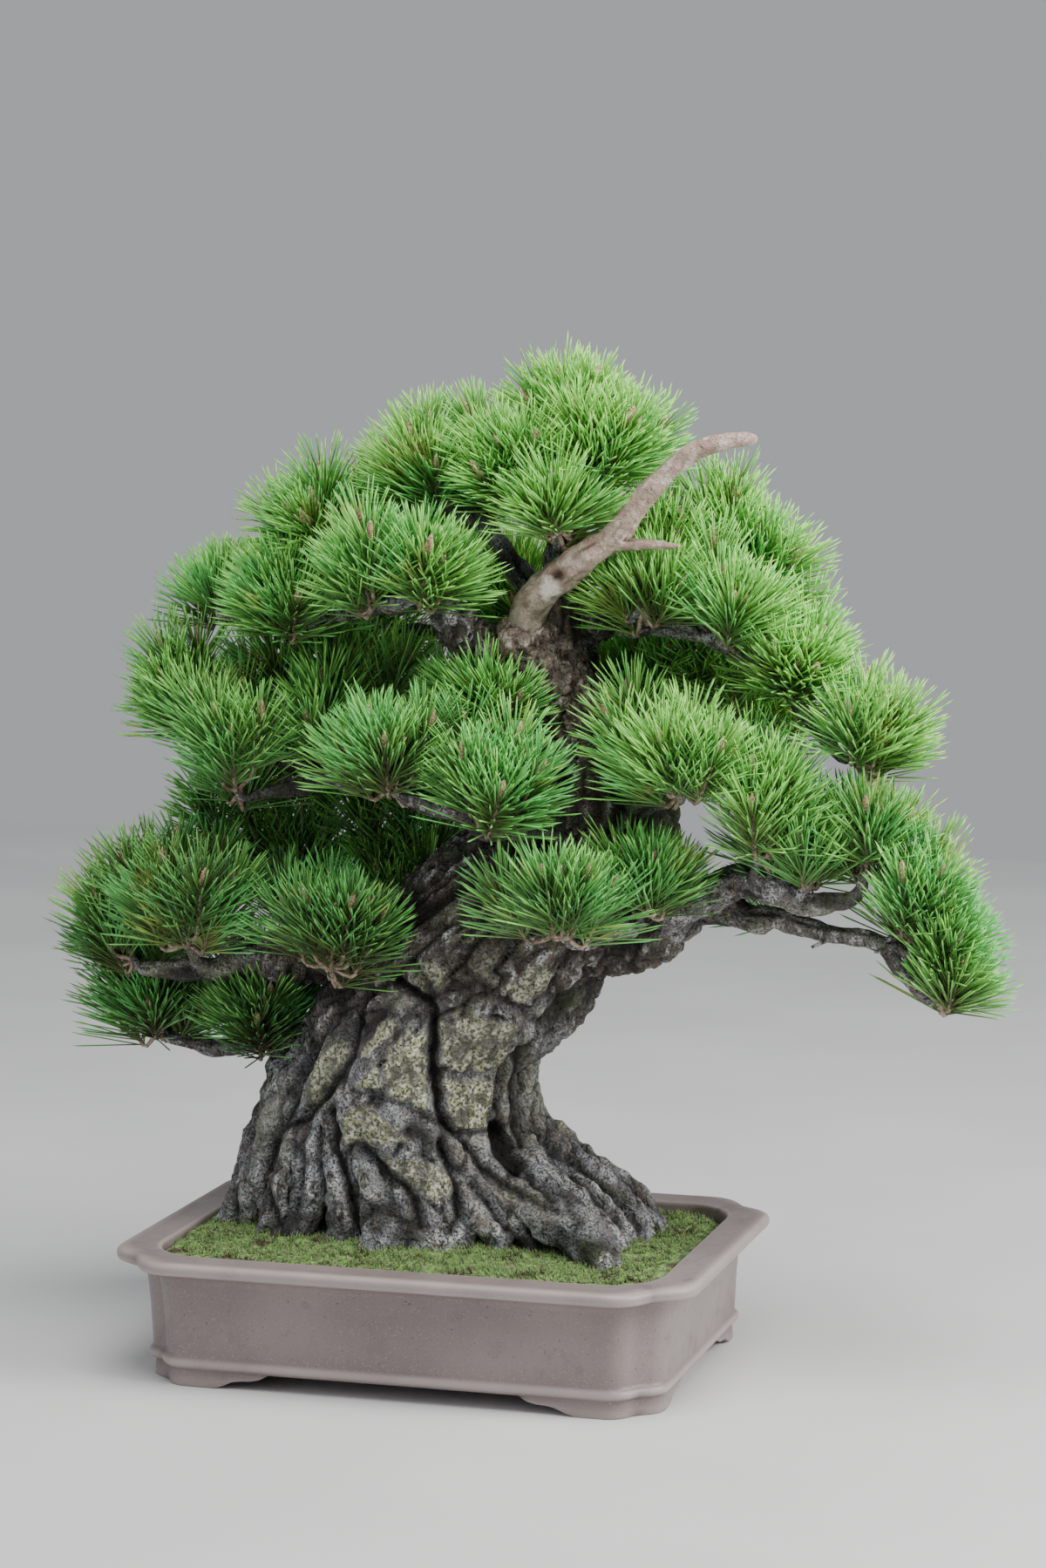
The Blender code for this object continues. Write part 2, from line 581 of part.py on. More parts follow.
def root_route(bearing, reach, radius):
    """A surface root from its tip in the moss up the flare and into the trunk. It follows the
    flare's ellipses, turns a little as it climbs, and swells on its way up."""
    rows = []
    flare = zip(FLARE_HEIGHTS, FLARE_HALF_WIDTHS, FLARE_HALF_DEPTHS, FLARE_MIDDLES, STRAND_SWELL)
    for level, (z, half_x, half_y, middle, swell) in enumerate(flare):
        thick = radius * MM * swell
        turn = math.radians(bearing + STRAND_TWIST * level / (len(FLARE_HEIGHTS) - 1))
        stretch = 1 + (reach - 1) * max(0.0, 1 - level / REACH_LEVELS)
        x = middle + (half_x * stretch - thick) * math.cos(turn)
        y = ROOT_CENTRE[1] + (half_y * stretch - thick) * math.sin(turn)
        rows.append((x, y, z, thick))
    return np.array(rows)


def spray_heading(root, tips):
    """The direction in which a branchlet ends: towards the middle of its shoots' ends."""
    return unit(np.mean([seen(*tip) for tip in tips], axis=0) - seen(*root))


def branchlet_route(limb, root, heading):
    """A branchlet from the nearest stretch of its limb, in one bend to where its spray
    stands: a cubic with its handles along the limb and along the spray's heading."""
    end = seen(*root)
    nearest = int(np.argmin(np.linalg.norm(limb[:, :3] - end, axis=1)))
    leave = max(0, nearest - 1)
    start = limb[leave]
    along = unit(limb[leave + 1, :3] - start[:3])
    span = np.linalg.norm(end - start[:3])
    handles = (start[:3], start[:3] + along * span * 0.3,
               end - heading * span * 0.45, end - heading * STUB_LENGTH)
    rows = []
    for t in (0.0, 0.5, 1.0):
        weights = ((1 - t) ** 3, 3 * t * (1 - t) ** 2, 3 * t ** 2 * (1 - t), t ** 3)
        place = sum(weight * handle for weight, handle in zip(weights, handles))
        rows.append((*place, STUB_RADIUS + (min(start[3] * 0.7, 0.006) - STUB_RADIUS) * (1 - t)))
    return np.array(rows + [(*end, STUB_RADIUS)])


def make_trunk(parts, cutters, limbs, branchlets):
    """Trunk, surface roots, limbs and branchlets, grown as one piece of wood. Its underside
    lies on the moss, and the root ball stands in the soil below."""
    pieces = [tube("root", root_route(*root), 1, cutters) for root in ROOTS]
    for name, route in limbs.items():
        pieces.append(tube(name, route, int(route[0, 3] > THIN_LIMB), cutters))
    for name, route in branchlets.items():
        pieces.append(tube(name, route, 0, cutters))
    trunk = tube("trunk", wood_route(TRUNK), 2, parts)
    apply_boolean(trunk, "UNION", cutters)
    remove_all(pieces)
    under = ground_slab("under_moss", GAP, 0.03, cutters)
    apply_boolean(trunk, "DIFFERENCE", under)
    ball = cylinder("root_ball", ROOT_BALL_RADIUS, ROOT_BALL_BOTTOM, ROOT_BALL_TOP,
                    *ROOT_CENTRE, 24, cutters)
    apply_boolean(trunk, "UNION", ball)
    remove_all([under, ball])
    one_body(trunk)
    return trunk


def make_jin(parts, cutters):
    """The bare dead branch, stripped to the heartwood, with its spur."""
    jin = tube("jin", wood_route(JIN), 2, parts)
    spur = tube("jin_spur", wood_route(JIN_SPUR), 1, cutters)
    apply_boolean(jin, "UNION", spur)
    remove_all([spur])
    one_body(jin)
    return jin


class Rods:
    """Straight tapered rods that a needle keeps clear of: wood, shoots, other needles."""

    def __init__(self):
        self.rows = np.zeros((8000, 9))
        self.count = 0

    def add(self, start, end, start_radius, end_radius, owner):
        """Take one more rod in."""
        self.rows[self.count] = (*start, *end, start_radius, end_radius, owner)
        self.count += 1

    def add_route(self, route, owner):
        """Take in a run of rods along rows of (x, y, z, radius)."""
        for low, high in zip(route[:-1], route[1:]):
            self.add(low[:3], high[:3], low[3], high[3], owner)

    def clear_of(self, start, end, start_radius, end_radius, owner):
        """Whether a rod keeps clear of all but its owner's. The nearest points of two
        straight lines are found, held to the rods' ends, and their distance is set against
        the two thicknesses there."""
        rows = self.rows[:self.count]
        rows = rows[rows[:, 8] != owner]
        if len(rows) == 0:
            return True
        first, other = end - start, rows[:, 3:6] - rows[:, :3]
        between = start - rows[:, :3]
        a, e = first @ first, np.einsum("ij,ij->i", other, other)
        b, c = other @ first, between @ first
        f = np.einsum("ij,ij->i", other, between)
        s = np.clip((b * f - c * e) / np.maximum(a * e - b * b, 1e-12), 0, 1)
        t = np.clip((b * s + f) / e, 0, 1)
        s = np.clip((b * t - c) / a, 0, 1)
        apart = between + s[:, None] * first - t[:, None] * other
        thick = start_radius + (end_radius - start_radius) * s
        thick = thick + rows[:, 6] + (rows[:, 7] - rows[:, 6]) * t
        return bool(np.all(np.linalg.norm(apart, axis=1) > thick + 0.5 * MM))


def shoot_axis(root, tip):
    """The direction of a shoot: half away from where its spray stands, half upwards."""
    return unit(unit(tip - root) * 0.62 + UP * 0.38)


def twig_points(root, heading, base, number):
    """A twig from inside the stub straight to the foot of a shoot. The twigs of a spray start
    one behind the other."""
    start = root + heading * (GAP + STUB_LENGTH * (0.25 + 0.13 * number))
    return [start, base]


def shoot_rings(points, shoot, number):
    """Rings of three points along a twig and up its shoot. On the shoot each ring is turned
    by a sixth against the last, so that its faces look to all sides. No two twigs of a spray
    start with their corners in line."""
    base = points[-1]
    axis = unit(shoot)
    shares = np.linspace(0, 1, SHOOT_BANDS + 1)[1:]
    places = list(points) + [base + shoot * share for share in shares]
    ways = [unit(places[k + 1] - places[k]) for k in range(len(points) - 1)]
    ways += [axis] * (len(places) - len(ways))
    side = unit(np.cross(ways[0], (0.31, 0.95, 0.05)))
    rings = []
    for level, (place, way) in enumerate(zip(places, ways)):
        side = unit(side - way * (side @ way))
        across = np.cross(way, side)
        on_shoot = level >= len(points)
        turn = TWIG_TURN * number + math.pi / 3 * max(0, level - len(points) + 1)
        radius = SHOOT_RADIUS if on_shoot else TWIG_RADIUS
        corners = turn + np.arange(3) * 2 * math.pi / 3
        rings.append(place + radius * (np.outer(np.cos(corners), side)
                                       + np.outer(np.sin(corners), across)))
    return rings


def shoot_faces(rings, twig_rings):
    """Faces between the rings, with the foot closed. Returns the twig's faces, and the
    shoot's three-sided faces with the band that each lies in."""
    plain = [(2, 1, 0)]
    raised = []
    for level in range(len(rings) - 1):
        low, high = 3 * level, 3 * level + 3
        for k in range(3):
            after = (k + 1) % 3
            if level < twig_rings - 1:
                plain.append((low + k, low + after, high + after, high + k))
            else:
                raised.append((level - twig_rings + 1, (low + k, low + after, high + k)))
                raised.append((level - twig_rings + 1, (high + k, low + after, high + after)))
    return plain, raised


def raise_needles(vertices, faces, axis, rods, owner, draw):
    """Raise NEEDLE_SHARE of a shoot's faces into long three-sided needles. A needle leans off
    the shoot less the higher it stands; one that would touch another is bent aside, then
    shortened, and left out if nothing helps."""
    kept = []
    taken, out_of = NEEDLE_SHARE
    for number, (band, face) in enumerate(faces):
        corners = [vertices[k] for k in face]
        centre = sum(corners) / 3
        normal = unit(np.cross(corners[1] - corners[0], corners[2] - corners[0]))
        outward = unit(normal - axis * (normal @ axis))
        across = np.cross(axis, outward)
        lean = math.radians(FOOT_LEAN - LEAN_STEP * band + draw.uniform(-5, 5))
        swing = math.radians(draw.uniform(-20, 20))
        length = NEEDLE_LENGTH * draw.uniform(0.93, 1.07)
        tip = None
        if (number * SHARE_STEP + owner) % out_of < taken:
            for shrink, (aside, bend) in itertools.product((1.0, 0.8), NEEDLE_TRIES):
                aside = swing + math.radians(aside)
                bend = lean + math.radians(bend)
                way = (math.cos(bend) * axis + math.sin(bend)
                       * (math.cos(aside) * outward + math.sin(aside) * across))
                end = centre + way * length * shrink
                if rods.clear_of(centre + way * 4 * MM, end, NEEDLE_FOOT, 0.0, owner):
                    tip = end
                    rods.add(centre, end, NEEDLE_FOOT, 0.0, owner)
                    break
        if tip is None:
            kept.append(face)
            continue
        vertices.append(tip)
        top = len(vertices) - 1
        kept += [(face[0], face[1], top), (face[1], face[2], top), (face[2], face[0], top)]
    return kept


def plan_shoots(root, heading, tips):
    """Twig and shoot of every tuft in a spray: points of the twig, and the shoot as a vector
    from its foot to its end. A tuft close to its stub has a shorter shoot."""
    origin = seen(*root)
    shoots = []
    for number, tip in enumerate(tips):
        end = seen(*tip)
        axis = shoot_axis(origin, end)
        shoot = axis * min(SHOOT_LENGTH, SHOOT_SHARE * np.linalg.norm(end - origin))
        base = end - shoot - axis * BUD_LENGTH
        shoots.append((twig_points(origin, heading, base, number), shoot))
    return shoots


def make_spray(name, root, heading, shoots, first_owner, rods, draw, parts, cutters):
    """One spray: a stub that stands on its branchlet, and on it a twig for each tuft."""
    origin = seen(*root)
    stub_ends = [(*(origin + heading * reach), STUB_RADIUS) for reach in (GAP, STUB_LENGTH)]
    spray = tube(name, stub_ends, 0, parts)
    tufts = []
    for number, (points, shoot) in enumerate(shoots):
        axis = unit(shoot)
        rings = shoot_rings(points, shoot, number)
        vertices = [corner for ring in rings for corner in ring]
        plain, faces = shoot_faces(rings, len(points))
        faces = raise_needles(vertices, faces, axis, rods, first_owner + number, draw)
        vertices.append(points[-1] + shoot + axis * BUD_LENGTH)
        top, bud = 3 * (len(rings) - 1), len(vertices) - 1
        cap = [(top + k, top + (k + 1) % 3, bud) for k in range(3)]
        tufts.append(add_object("tuft", mesh_from("tuft", vertices, plain + faces + cap), cutters))
    apply_boolean(spray, "UNION", cutters)
    remove_all(tufts)
    one_body(spray)
    return spray


def centre_model(parts):
    """Move everything sideways so that the model's outline is centred on the origin."""
    corners = np.array([vertex.co for item in parts.objects for vertex in item.data.vertices])
    shift = -(corners.min(axis=0) + corners.max(axis=0)) / 2
    for item in parts.objects:
        item.data.transform(Matrix.Translation((shift[0], shift[1], 0.0)))


def main():
    """Build the whole bonsai."""
    for item in list(bpy.data.objects):
        bpy.data.objects.remove(item, do_unlink=True)
    parts = bpy.data.collections.new("pine_bonsai")
    cutters = bpy.data.collections.new("cutters")
    for group in (parts, cutters):
        bpy.context.scene.collection.children.link(group)
    draw = np.random.default_rng(7)
    stoneware = colour("stoneware", (0.27, 0.20, 0.18), 0.75)
    earth = colour("soil", (0.07, 0.045, 0.03), 0.95)
    moss_green = colour("moss", (0.10, 0.19, 0.045), 0.95)
    bark = colour("bark", (0.12, 0.10, 0.085), 0.9)
    dead_wood = colour("dead_wood", (0.36, 0.27, 0.23), 0.8)
    needle_green = colour("needles", (0.10, 0.27, 0.06), 0.55)
    plastic = colour("screen_plastic", (0.02, 0.02, 0.02), 0.6)

    pot = make_pot(parts, cutters)
    screens = make_screens(parts, cutters)
    soil, moss = make_ground(parts, cutters)
    limbs = {name: wood_route(rows) for name, rows in LIMBS.items()}
    headings = {name: spray_heading(root, tips) for name, (_, root, tips) in SPRAYS.items()}
    branchlets = {name: branchlet_route(limbs[limb], root, headings[name])
                  for name, (limb, root, _) in SPRAYS.items()}
    trunk = make_trunk(parts, cutters, limbs, branchlets)
    jin = make_jin(parts, cutters)

    rods = Rods()
    for route in [*limbs.values(), *branchlets.values(), wood_route(TRUNK),
                  wood_route(JIN), wood_route(JIN_SPUR)]:
        rods.add_route(route, -1)
    plans = {name: plan_shoots(root, headings[name], tips)
             for name, (_, root, tips) in SPRAYS.items()}
    owner = 0
    for shoots in plans.values():
        for points, shoot in shoots:
            line = [(*point, TWIG_RADIUS) for point in points]
            line.append((*(points[-1] + shoot + unit(shoot) * BUD_LENGTH), SHOOT_RADIUS))
            rods.add_route(np.array(line), owner)
            owner += 1
    sprays = []
    owner = 0
    for name, shoots in plans.items():
        sprays.append(make_spray("spray_" + name, SPRAYS[name][1], headings[name], shoots,
                                 owner, rods, draw, parts, cutters))
        owner += len(shoots)

    finishes = [(stoneware, [pot]), (plastic, screens), (earth, [soil]), (moss_green, [moss]),
                (bark, [trunk]), (dead_wood, [jin]), (needle_green, sprays)]
    for material, items in finishes:
        for item in items:
            item.data.materials.clear()
            item.data.materials.append(material)
    centre_model(parts)


main()
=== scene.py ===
"""Looks of the pine bonsai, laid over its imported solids.

Metres, +Z up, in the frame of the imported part. The file follows the bonsai as it is potted:
the pot, the screens and soil in it, the moss, the trunk with its roots, the limbs, the
dead branch, and last the sprays of needles. Every random draw is seeded.
"""
import itertools
import math

import bmesh
import bpy
import numpy as np
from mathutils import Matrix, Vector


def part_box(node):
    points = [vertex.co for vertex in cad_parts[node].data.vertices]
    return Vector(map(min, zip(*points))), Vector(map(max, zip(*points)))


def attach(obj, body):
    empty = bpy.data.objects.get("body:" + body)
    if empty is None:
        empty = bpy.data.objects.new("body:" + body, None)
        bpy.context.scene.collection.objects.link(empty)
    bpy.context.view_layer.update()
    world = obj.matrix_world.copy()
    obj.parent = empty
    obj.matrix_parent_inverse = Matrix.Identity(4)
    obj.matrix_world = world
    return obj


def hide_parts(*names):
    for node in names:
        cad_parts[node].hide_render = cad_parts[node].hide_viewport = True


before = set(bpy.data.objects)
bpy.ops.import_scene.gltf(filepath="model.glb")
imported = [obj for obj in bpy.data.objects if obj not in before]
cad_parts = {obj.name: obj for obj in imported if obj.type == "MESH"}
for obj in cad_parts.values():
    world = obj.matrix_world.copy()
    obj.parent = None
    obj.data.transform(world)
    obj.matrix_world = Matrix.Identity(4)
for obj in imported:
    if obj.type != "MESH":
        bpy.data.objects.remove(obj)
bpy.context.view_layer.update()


# Room: soft light from above and from both sides, and the camera where the photograph was
# taken, 3.03 m off and 16 degrees to the right of the pot's front. The floor comes last.

# The frame's pot says where its own middle is, and all places below count from there.
pot_low, pot_high = (np.array(corner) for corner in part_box("pot"))
POT_MIDDLE = np.array(((pot_low[0] + pot_high[0]) / 2, (pot_low[1] + pot_high[1]) / 2, 0.0))
UP = np.array((0.0, 0.0, 1.0))
CAMERA_TURN = math.radians(16.286)
CAMERA_RISE = math.radians(6.604)
CAMERA_DISTANCE = 3.028
CAMERA_LENS = 90.05
SENSOR_HEIGHT = 36.0
AIM_ASIDE = 0.058
AIM_HEIGHT = 0.451
# Each light: its place from the pot's middle, its size, its power and its tint.
LIGHTS = {
    "top_light": ((0.5, -0.8, 2.4), 1.5, 52.0, (1.0, 0.99, 0.97)),
    "right_light": ((2.4, -0.3, 1.5), 1.3, 82.0, (1.0, 0.99, 0.97)),
    "left_light": ((-1.9, -1.9, 1.2), 1.4, 11.0, (0.95, 0.975, 1.0))}
LIGHT_AIM_HEIGHT = 0.4
SKY_TINT = (0.80, 0.82, 0.85, 1.0)
SKY_STRENGTH = 0.50

right = np.array((math.cos(CAMERA_TURN), math.sin(CAMERA_TURN), 0.0))
back = np.array((math.sin(CAMERA_TURN) * math.cos(CAMERA_RISE),
                 -math.cos(CAMERA_TURN) * math.cos(CAMERA_RISE), math.sin(CAMERA_RISE)))
camera_data = bpy.data.cameras.new("camera")
camera_data.sensor_fit = "VERTICAL"
camera_data.sensor_height = SENSOR_HEIGHT
camera_data.lens = CAMERA_LENS
camera = bpy.data.objects.new("camera", camera_data)
bpy.context.scene.collection.objects.link(camera)
camera.location = POT_MIDDLE + right * AIM_ASIDE + UP * AIM_HEIGHT + back * CAMERA_DISTANCE
camera.rotation_euler = (math.pi / 2 - CAMERA_RISE, 0.0, CAMERA_TURN)
bpy.context.scene.camera = camera


def add_light(name, place, size, power, tint):
    """A square soft light of a size in metres, facing the middle of the tree."""
    data = bpy.data.lights.new(name, "AREA")
    data.shape = "SQUARE"
    data.size = size
    data.energy = power
    data.color = tint
    lamp = bpy.data.objects.new(name, data)
    bpy.context.scene.collection.objects.link(lamp)
    lamp.location = POT_MIDDLE + np.array(place)
    toward = POT_MIDDLE + UP * LIGHT_AIM_HEIGHT - np.array(lamp.location)
    lamp.rotation_euler = (math.atan2(math.hypot(toward[0], toward[1]), -toward[2]), 0.0,
                           math.atan2(toward[1], toward[0]) - math.pi / 2)


for name, light in LIGHTS.items():
    add_light(name, *light)
world = bpy.data.worlds.new("studio")
world.use_nodes = True
sky = world.node_tree.nodes["Background"]
sky.inputs["Color"].default_value = SKY_TINT
sky.inputs["Strength"].default_value = SKY_STRENGTH
bpy.context.scene.world = world


# Pot: one piece of unglazed stoneware, pressed in a mould and fired. A wide flat rim with
# a rounded lip, corners notched to a crease, a belt low on the body, and four cloud feet.
MM = 0.001
RIM_LENGTH = 0.460
RIM_WIDTH = 0.346
CAVITY_CORNER = 45.0
LOBE_TURN = math.radians(58)
LOBE_ROUNDNESS = 1.1
FOOT_TOP = 13.0
FLOOR_HEIGHT = 24.0
DRAIN_RADIUS = 0.014
DRAIN_ASIDE = 0.095
PLUG_SIDES = 32
PLUG_HEIGHTS = (0.005, 0.035)
CREASE_WEAR = -0.6
WELD_DISTANCE = 0.00002
LONG_STEPS, SHORT_STEPS, LOBE_STEPS = 44, 32, 7
CORNER_POINTS = 2 * LOBE_STEPS + 1

# Heights and insets in millimetres. The outside from the foot up over the lip: height,
# inset, notch depth, wear. The inside and the underside have plain round corners.
POT_OUTSIDE = (
    (0.0, 28.2, 17, 0.8), (0.7, 27.3, 17, 0.9), (6, 27.4, 17, 0.3), (12.6, 28, 17, 0.0),
    (13.8, 27, 17, 0.0), (15, 25.2, 17, 0.3), (16.8, 23.9, 17, 0.9), (18.8, 23.4, 17, 1.0),
    (20.8, 23.9, 17, 0.9), (22.4, 25.2, 17, 0.3), (23.4, 26, 17, 0.0), (25.5, 26.2, 17, 0.0),
    (40, 25.6, 17, 0.15), (55, 25, 17, 0.15), (70, 24, 17, 0.1), (80, 23, 17, 0.0),
    (85, 20.6, 17.5, 0.0), (88, 16.2, 19, 0.0), (90, 10.5, 22, 0.1), (90.8, 6, 23.5, 0.2),
    (91.2, 3, 24.5, 0.5), (92, 1.2, 25.5, 0.8), (93.4, 0.3, 26, 0.9), (95.5, 0, 26, 0.6),
    (97.6, 0.1, 26, 0.7), (99.3, 0.9, 26, 1.0), (100.5, 2.3, 26, 1.0), (101, 4.4, 26, 0.6),
    (101, 9, 27, 0.1))
POT_INSIDE = (
    (101, 27.5, 0.2), (100.9, 29.6, 0.8), (100.3, 30.6, 1.0), (99.2, 31.1, 0.8),
    (97, 31.2, 0.2), (80, 32.2, 0.0), (40, 34.5, 0.0), (24.6, 35.6, 0.0),
    (FLOOR_HEIGHT, 37, 0.0), (FLOOR_HEIGHT, 90, 0.0))
POT_UNDERSIDE = (
    (13, 90, 0.0), (13, 45, 0.0), (12.4, 42.6, 0.0), (11, 42, 0.1), (1.4, 41.6, 0.5),
    (0.2, 40.4, 0.8), (0.0, 38.6, 0.8), (0.0, 31, 0.6))
# The roof of the gap between two feet: distance from the middle of a side against height.
GAP_ROOF = ((100, 13), (103, 10), (110, 7.5), (126, 6.5), (134, 3), (138, 0))
SIDE_SHORTER = 41.0


def linear(red, green, blue):
    """A colour given as seen on a screen, 0 to 255, as the shader takes it: each share is
    raised to the power 2.2."""
    return tuple((value / 255) ** 2.2 for value in (red, green, blue)) + (1.0,)


def fill_sockets(tree, item, inputs):
    """Give each named or numbered socket of a node its plain value, or another's output."""
    for key, value in inputs.items():
        if isinstance(value, bpy.types.NodeSocket):
            tree.links.new(value, item.inputs[key])
        else:
            item.inputs[key].default_value = value


def add_node(tree, kind, inputs=None, **settings):
    """One shader node with its settings and what its sockets take."""
    item = tree.nodes.new(kind)
    for key, value in settings.items():
        setattr(item, key, value)
    fill_sockets(tree, item, inputs or {})
    return item


def new_material(name):
    """An empty material with its shader and its tree."""
    material = bpy.data.materials.new(name)
    material.use_nodes = True
    return material, material.node_tree, material.node_tree.nodes["Principled BSDF"]


def layered(tree, colour, *layers):
    """A colour with layers over it, in turn: each is a mask from 0 to 1 and its colour."""
    for mask, over in layers:
        colour = add_node(tree, "ShaderNodeMix", {0: mask, 6: colour, 7: over},
                          data_type="RGBA").outputs[2]
    return colour


def product(tree, first, second):
    """Two masks multiplied."""
    return add_node(tree, "ShaderNodeMath", {0: first, 1: second},
                    operation="MULTIPLY").outputs[0]


def ranged(tree, value, low, high, bottom=0.0, top=1.0):
    """A value drawn from the span low to high onto the span bottom to top, evenly."""
    return add_node(tree, "ShaderNodeMapRange", {
        "Value": value, "From Min": low, "From Max": high, "To Min": bottom,
        "To Max": top}).outputs["Result"]


def mottle_group():
    """Mottle: a mask from a noise over the piece's own coordinates, of a given scale and
    detail, that rises from 0 at Low to 1 at High. Used for stains, speckle and grain."""
    group = bpy.data.node_groups.new("mottle", "ShaderNodeTree")
    for name, value in (("Scale", 40.0), ("Stretch", 1.0), ("Detail", 3.0), ("Low", 0.4),
                        ("High", 0.6)):
        socket = group.interface.new_socket(name, in_out="INPUT", socket_type="NodeSocketFloat")
        socket.default_value = value
    group.interface.new_socket("Mask", in_out="OUTPUT", socket_type="NodeSocketFloat")
    ask = group.nodes.new("NodeGroupInput")
    place = add_node(group, "ShaderNodeTexCoord")
    along = add_node(group, "ShaderNodeCombineXYZ", {
        "X": 1.0, "Y": 1.0, "Z": ask.outputs["Stretch"]})
    scaled = add_node(group, "ShaderNodeVectorMath", {
        0: place.outputs["Object"], 1: along.outputs[0]}, operation="MULTIPLY")
    noise = add_node(group, "ShaderNodeTexNoise", {
        "Vector": scaled.outputs[0], "Scale": ask.outputs["Scale"],
        "Detail": ask.outputs["Detail"]})
    mask = add_node(group, "ShaderNodeMapRange", {
        "Value": noise.outputs["Fac"], "From Min": ask.outputs["Low"],
        "From Max": ask.outputs["High"]}, interpolation_type="SMOOTHSTEP")
    give = group.nodes.new("NodeGroupOutput")
    group.links.new(mask.outputs["Result"], give.inputs["Mask"])
    return group


MOTTLE = mottle_group()


def mottle(tree, scale, low, high, detail=3.0, stretch=1.0):
    """The mask of a mottle group with its own values."""
    item = add_node(tree, "ShaderNodeGroup", node_tree=MOTTLE)
    for name, value in (("Scale", scale), ("Low", low), ("High", high), ("Detail", detail),
                        ("Stretch", stretch)):
        item.inputs[name].default_value = value
    return item.outputs["Mask"]


def bump(tree, shader, height, depth, strength=1.0, normal=None):
    """Relief of a depth in metres from a height mask, into the shader's normal."""
    item = add_node(tree, "ShaderNodeBump", {"Height": height, "Distance": depth,
                                             "Strength": strength})
    if normal is not None:
        tree.links.new(normal, item.inputs["Normal"])
    tree.links.new(item.outputs["Normal"], shader.inputs["Normal"])
    return item.outputs["Normal"]


def mesh_piece(name, points, quads, triangles, materials, smooth=True, kinds=None):
    """A piece from points and rows of corner numbers. kinds gives each face's material."""
    mesh = bpy.data.meshes.new(name)
    quads = np.asarray(quads, dtype=np.int32).reshape(-1, 4)
    triangles = np.asarray(triangles, dtype=np.int32).reshape(-1, 3)
    corners = np.concatenate((quads.ravel(), triangles.ravel()))
    sizes = np.concatenate((np.full(len(quads), 4), np.full(len(triangles), 3)))
    mesh.vertices.add(len(points))
    mesh.vertices.foreach_set("co", np.asarray(points, dtype=np.float32).ravel())
    mesh.loops.add(len(corners))
    mesh.loops.foreach_set("vertex_index", corners)
    mesh.polygons.add(len(sizes))
    mesh.polygons.foreach_set("loop_start", np.concatenate(((0,), np.cumsum(sizes)[:-1])))
    if kinds is not None:
        mesh.polygons.foreach_set("material_index", np.asarray(kinds, dtype=np.int32))
    mesh.polygons.foreach_set("use_smooth", np.full(len(sizes), smooth))
    mesh.update(calc_edges=True)
    for material in materials:
        mesh.materials.append(material)
    piece = bpy.data.objects.new(name, mesh)
    bpy.context.scene.collection.objects.link(piece)
    return piece


def mark(piece, name, values):
    """Give every point of a piece a number under a name, for its material to read."""
    layer = piece.data.attributes.new(name, "FLOAT", "POINT")
    layer.data.foreach_set("value", np.asarray(values, dtype=np.float32))


def marked(tree, name):
    """The number that points carry under a name."""
    return add_node(tree, "ShaderNodeAttribute", attribute_name=name).outputs["Fac"]


def grid_quads(rows, columns, closed=True, first=0):
    """Corner numbers of the quads between rows of points. Closed rows join end to start."""
    row, column = np.meshgrid(np.arange(rows - 1), np.arange(columns if closed else columns - 1),
                              indexing="ij")
    low = first + row * columns + column
    after = first + row * columns + (column + 1) % columns
    return np.stack((low, after, after + columns, low + columns), axis=-1).reshape(-1, 4)


def fan(ring, middle, flipped=False):
    """Triangles from a ring of corner numbers to a point in its middle."""
    after = np.roll(ring, -1)
    sides = (after, ring) if flipped else (ring, after)
    return np.stack((*sides, np.full(len(ring), middle)), axis=-1)


def belongs(piece, slot, *nodes):
    """The piece rides on the part and stands for these nodes, whose solids are hidden. The slot is
    not used.
    """
    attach(piece, "root")
    if nodes:
        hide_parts(*nodes)


def lobed_corner(notch):
    """Insets from the two sides along a corner: an arc off the side, a straight run to the
    notch on the diagonal, and the same mirrored."""
    radius = notch * LOBE_ROUNDNESS
    turns = np.linspace(0, LOBE_TURN, LOBE_STEPS)
    inward = radius * (1 - math.cos(LOBE_TURN))
    start = notch + (notch - inward) / math.tan(LOBE_TURN) + radius * math.sin(LOBE_TURN)
    half = np.stack((start - radius * np.sin(turns), radius * (1 - np.cos(turns))), axis=-1)
    return np.vstack((half, ((notch, notch),), half[::-1, ::-1]))


def round_corner(radius):
    """Insets from the two sides along a plain quarter round."""
    turns = np.linspace(0, math.pi / 2, CORNER_POINTS)
    return np.stack((radius * (1 - np.sin(turns)), radius * (1 - np.cos(turns))), axis=-1)


def pot_ring(inset, corner, height):
    """A closed ring round the pot, counter-clockwise from above: at each corner the insets
    are taken off the half length and half width, and the sides between are cut evenly."""
    half = np.array((RIM_LENGTH / 2, RIM_WIDTH / 2)) - inset * MM
    runs = []
    for side in ((1, 1), (-1, 1), (-1, -1), (1, -1)):
        run = corner if side[0] * side[1] < 0 else corner[::-1]
        runs.append(np.array(side) * (half - run * MM))
    ring = []
    for number, run in enumerate(runs):
        after = runs[(number + 1) % 4][0]
        steps = LONG_STEPS if number % 2 == 0 else SHORT_STEPS
        share = np.linspace(0, 1, steps + 2)[1:-1, None]
        ring += [run, run[-1] * (1 - share) + after * share]
    flat = np.vstack(ring)
    return np.column_stack((flat, np.full(len(flat), height * MM)))


def foot_gap_roof(ring):
    """Height of the pot's lower edge over a ring: the gap's roof along whichever side of the
    pot a point lies on, and 0 at the feet."""
    places, heights = np.array(GAP_ROOF).T
    long_side = np.interp(np.abs(ring[:, 0]) / MM, places, heights)
    short_side = np.interp(np.abs(ring[:, 1]) / MM + SIDE_SHORTER, places, heights)
    on_long = np.abs(ring[:, 1]) / RIM_WIDTH > np.abs(ring[:, 0]) / RIM_LENGTH
    return np.where(on_long, long_side, short_side) * MM


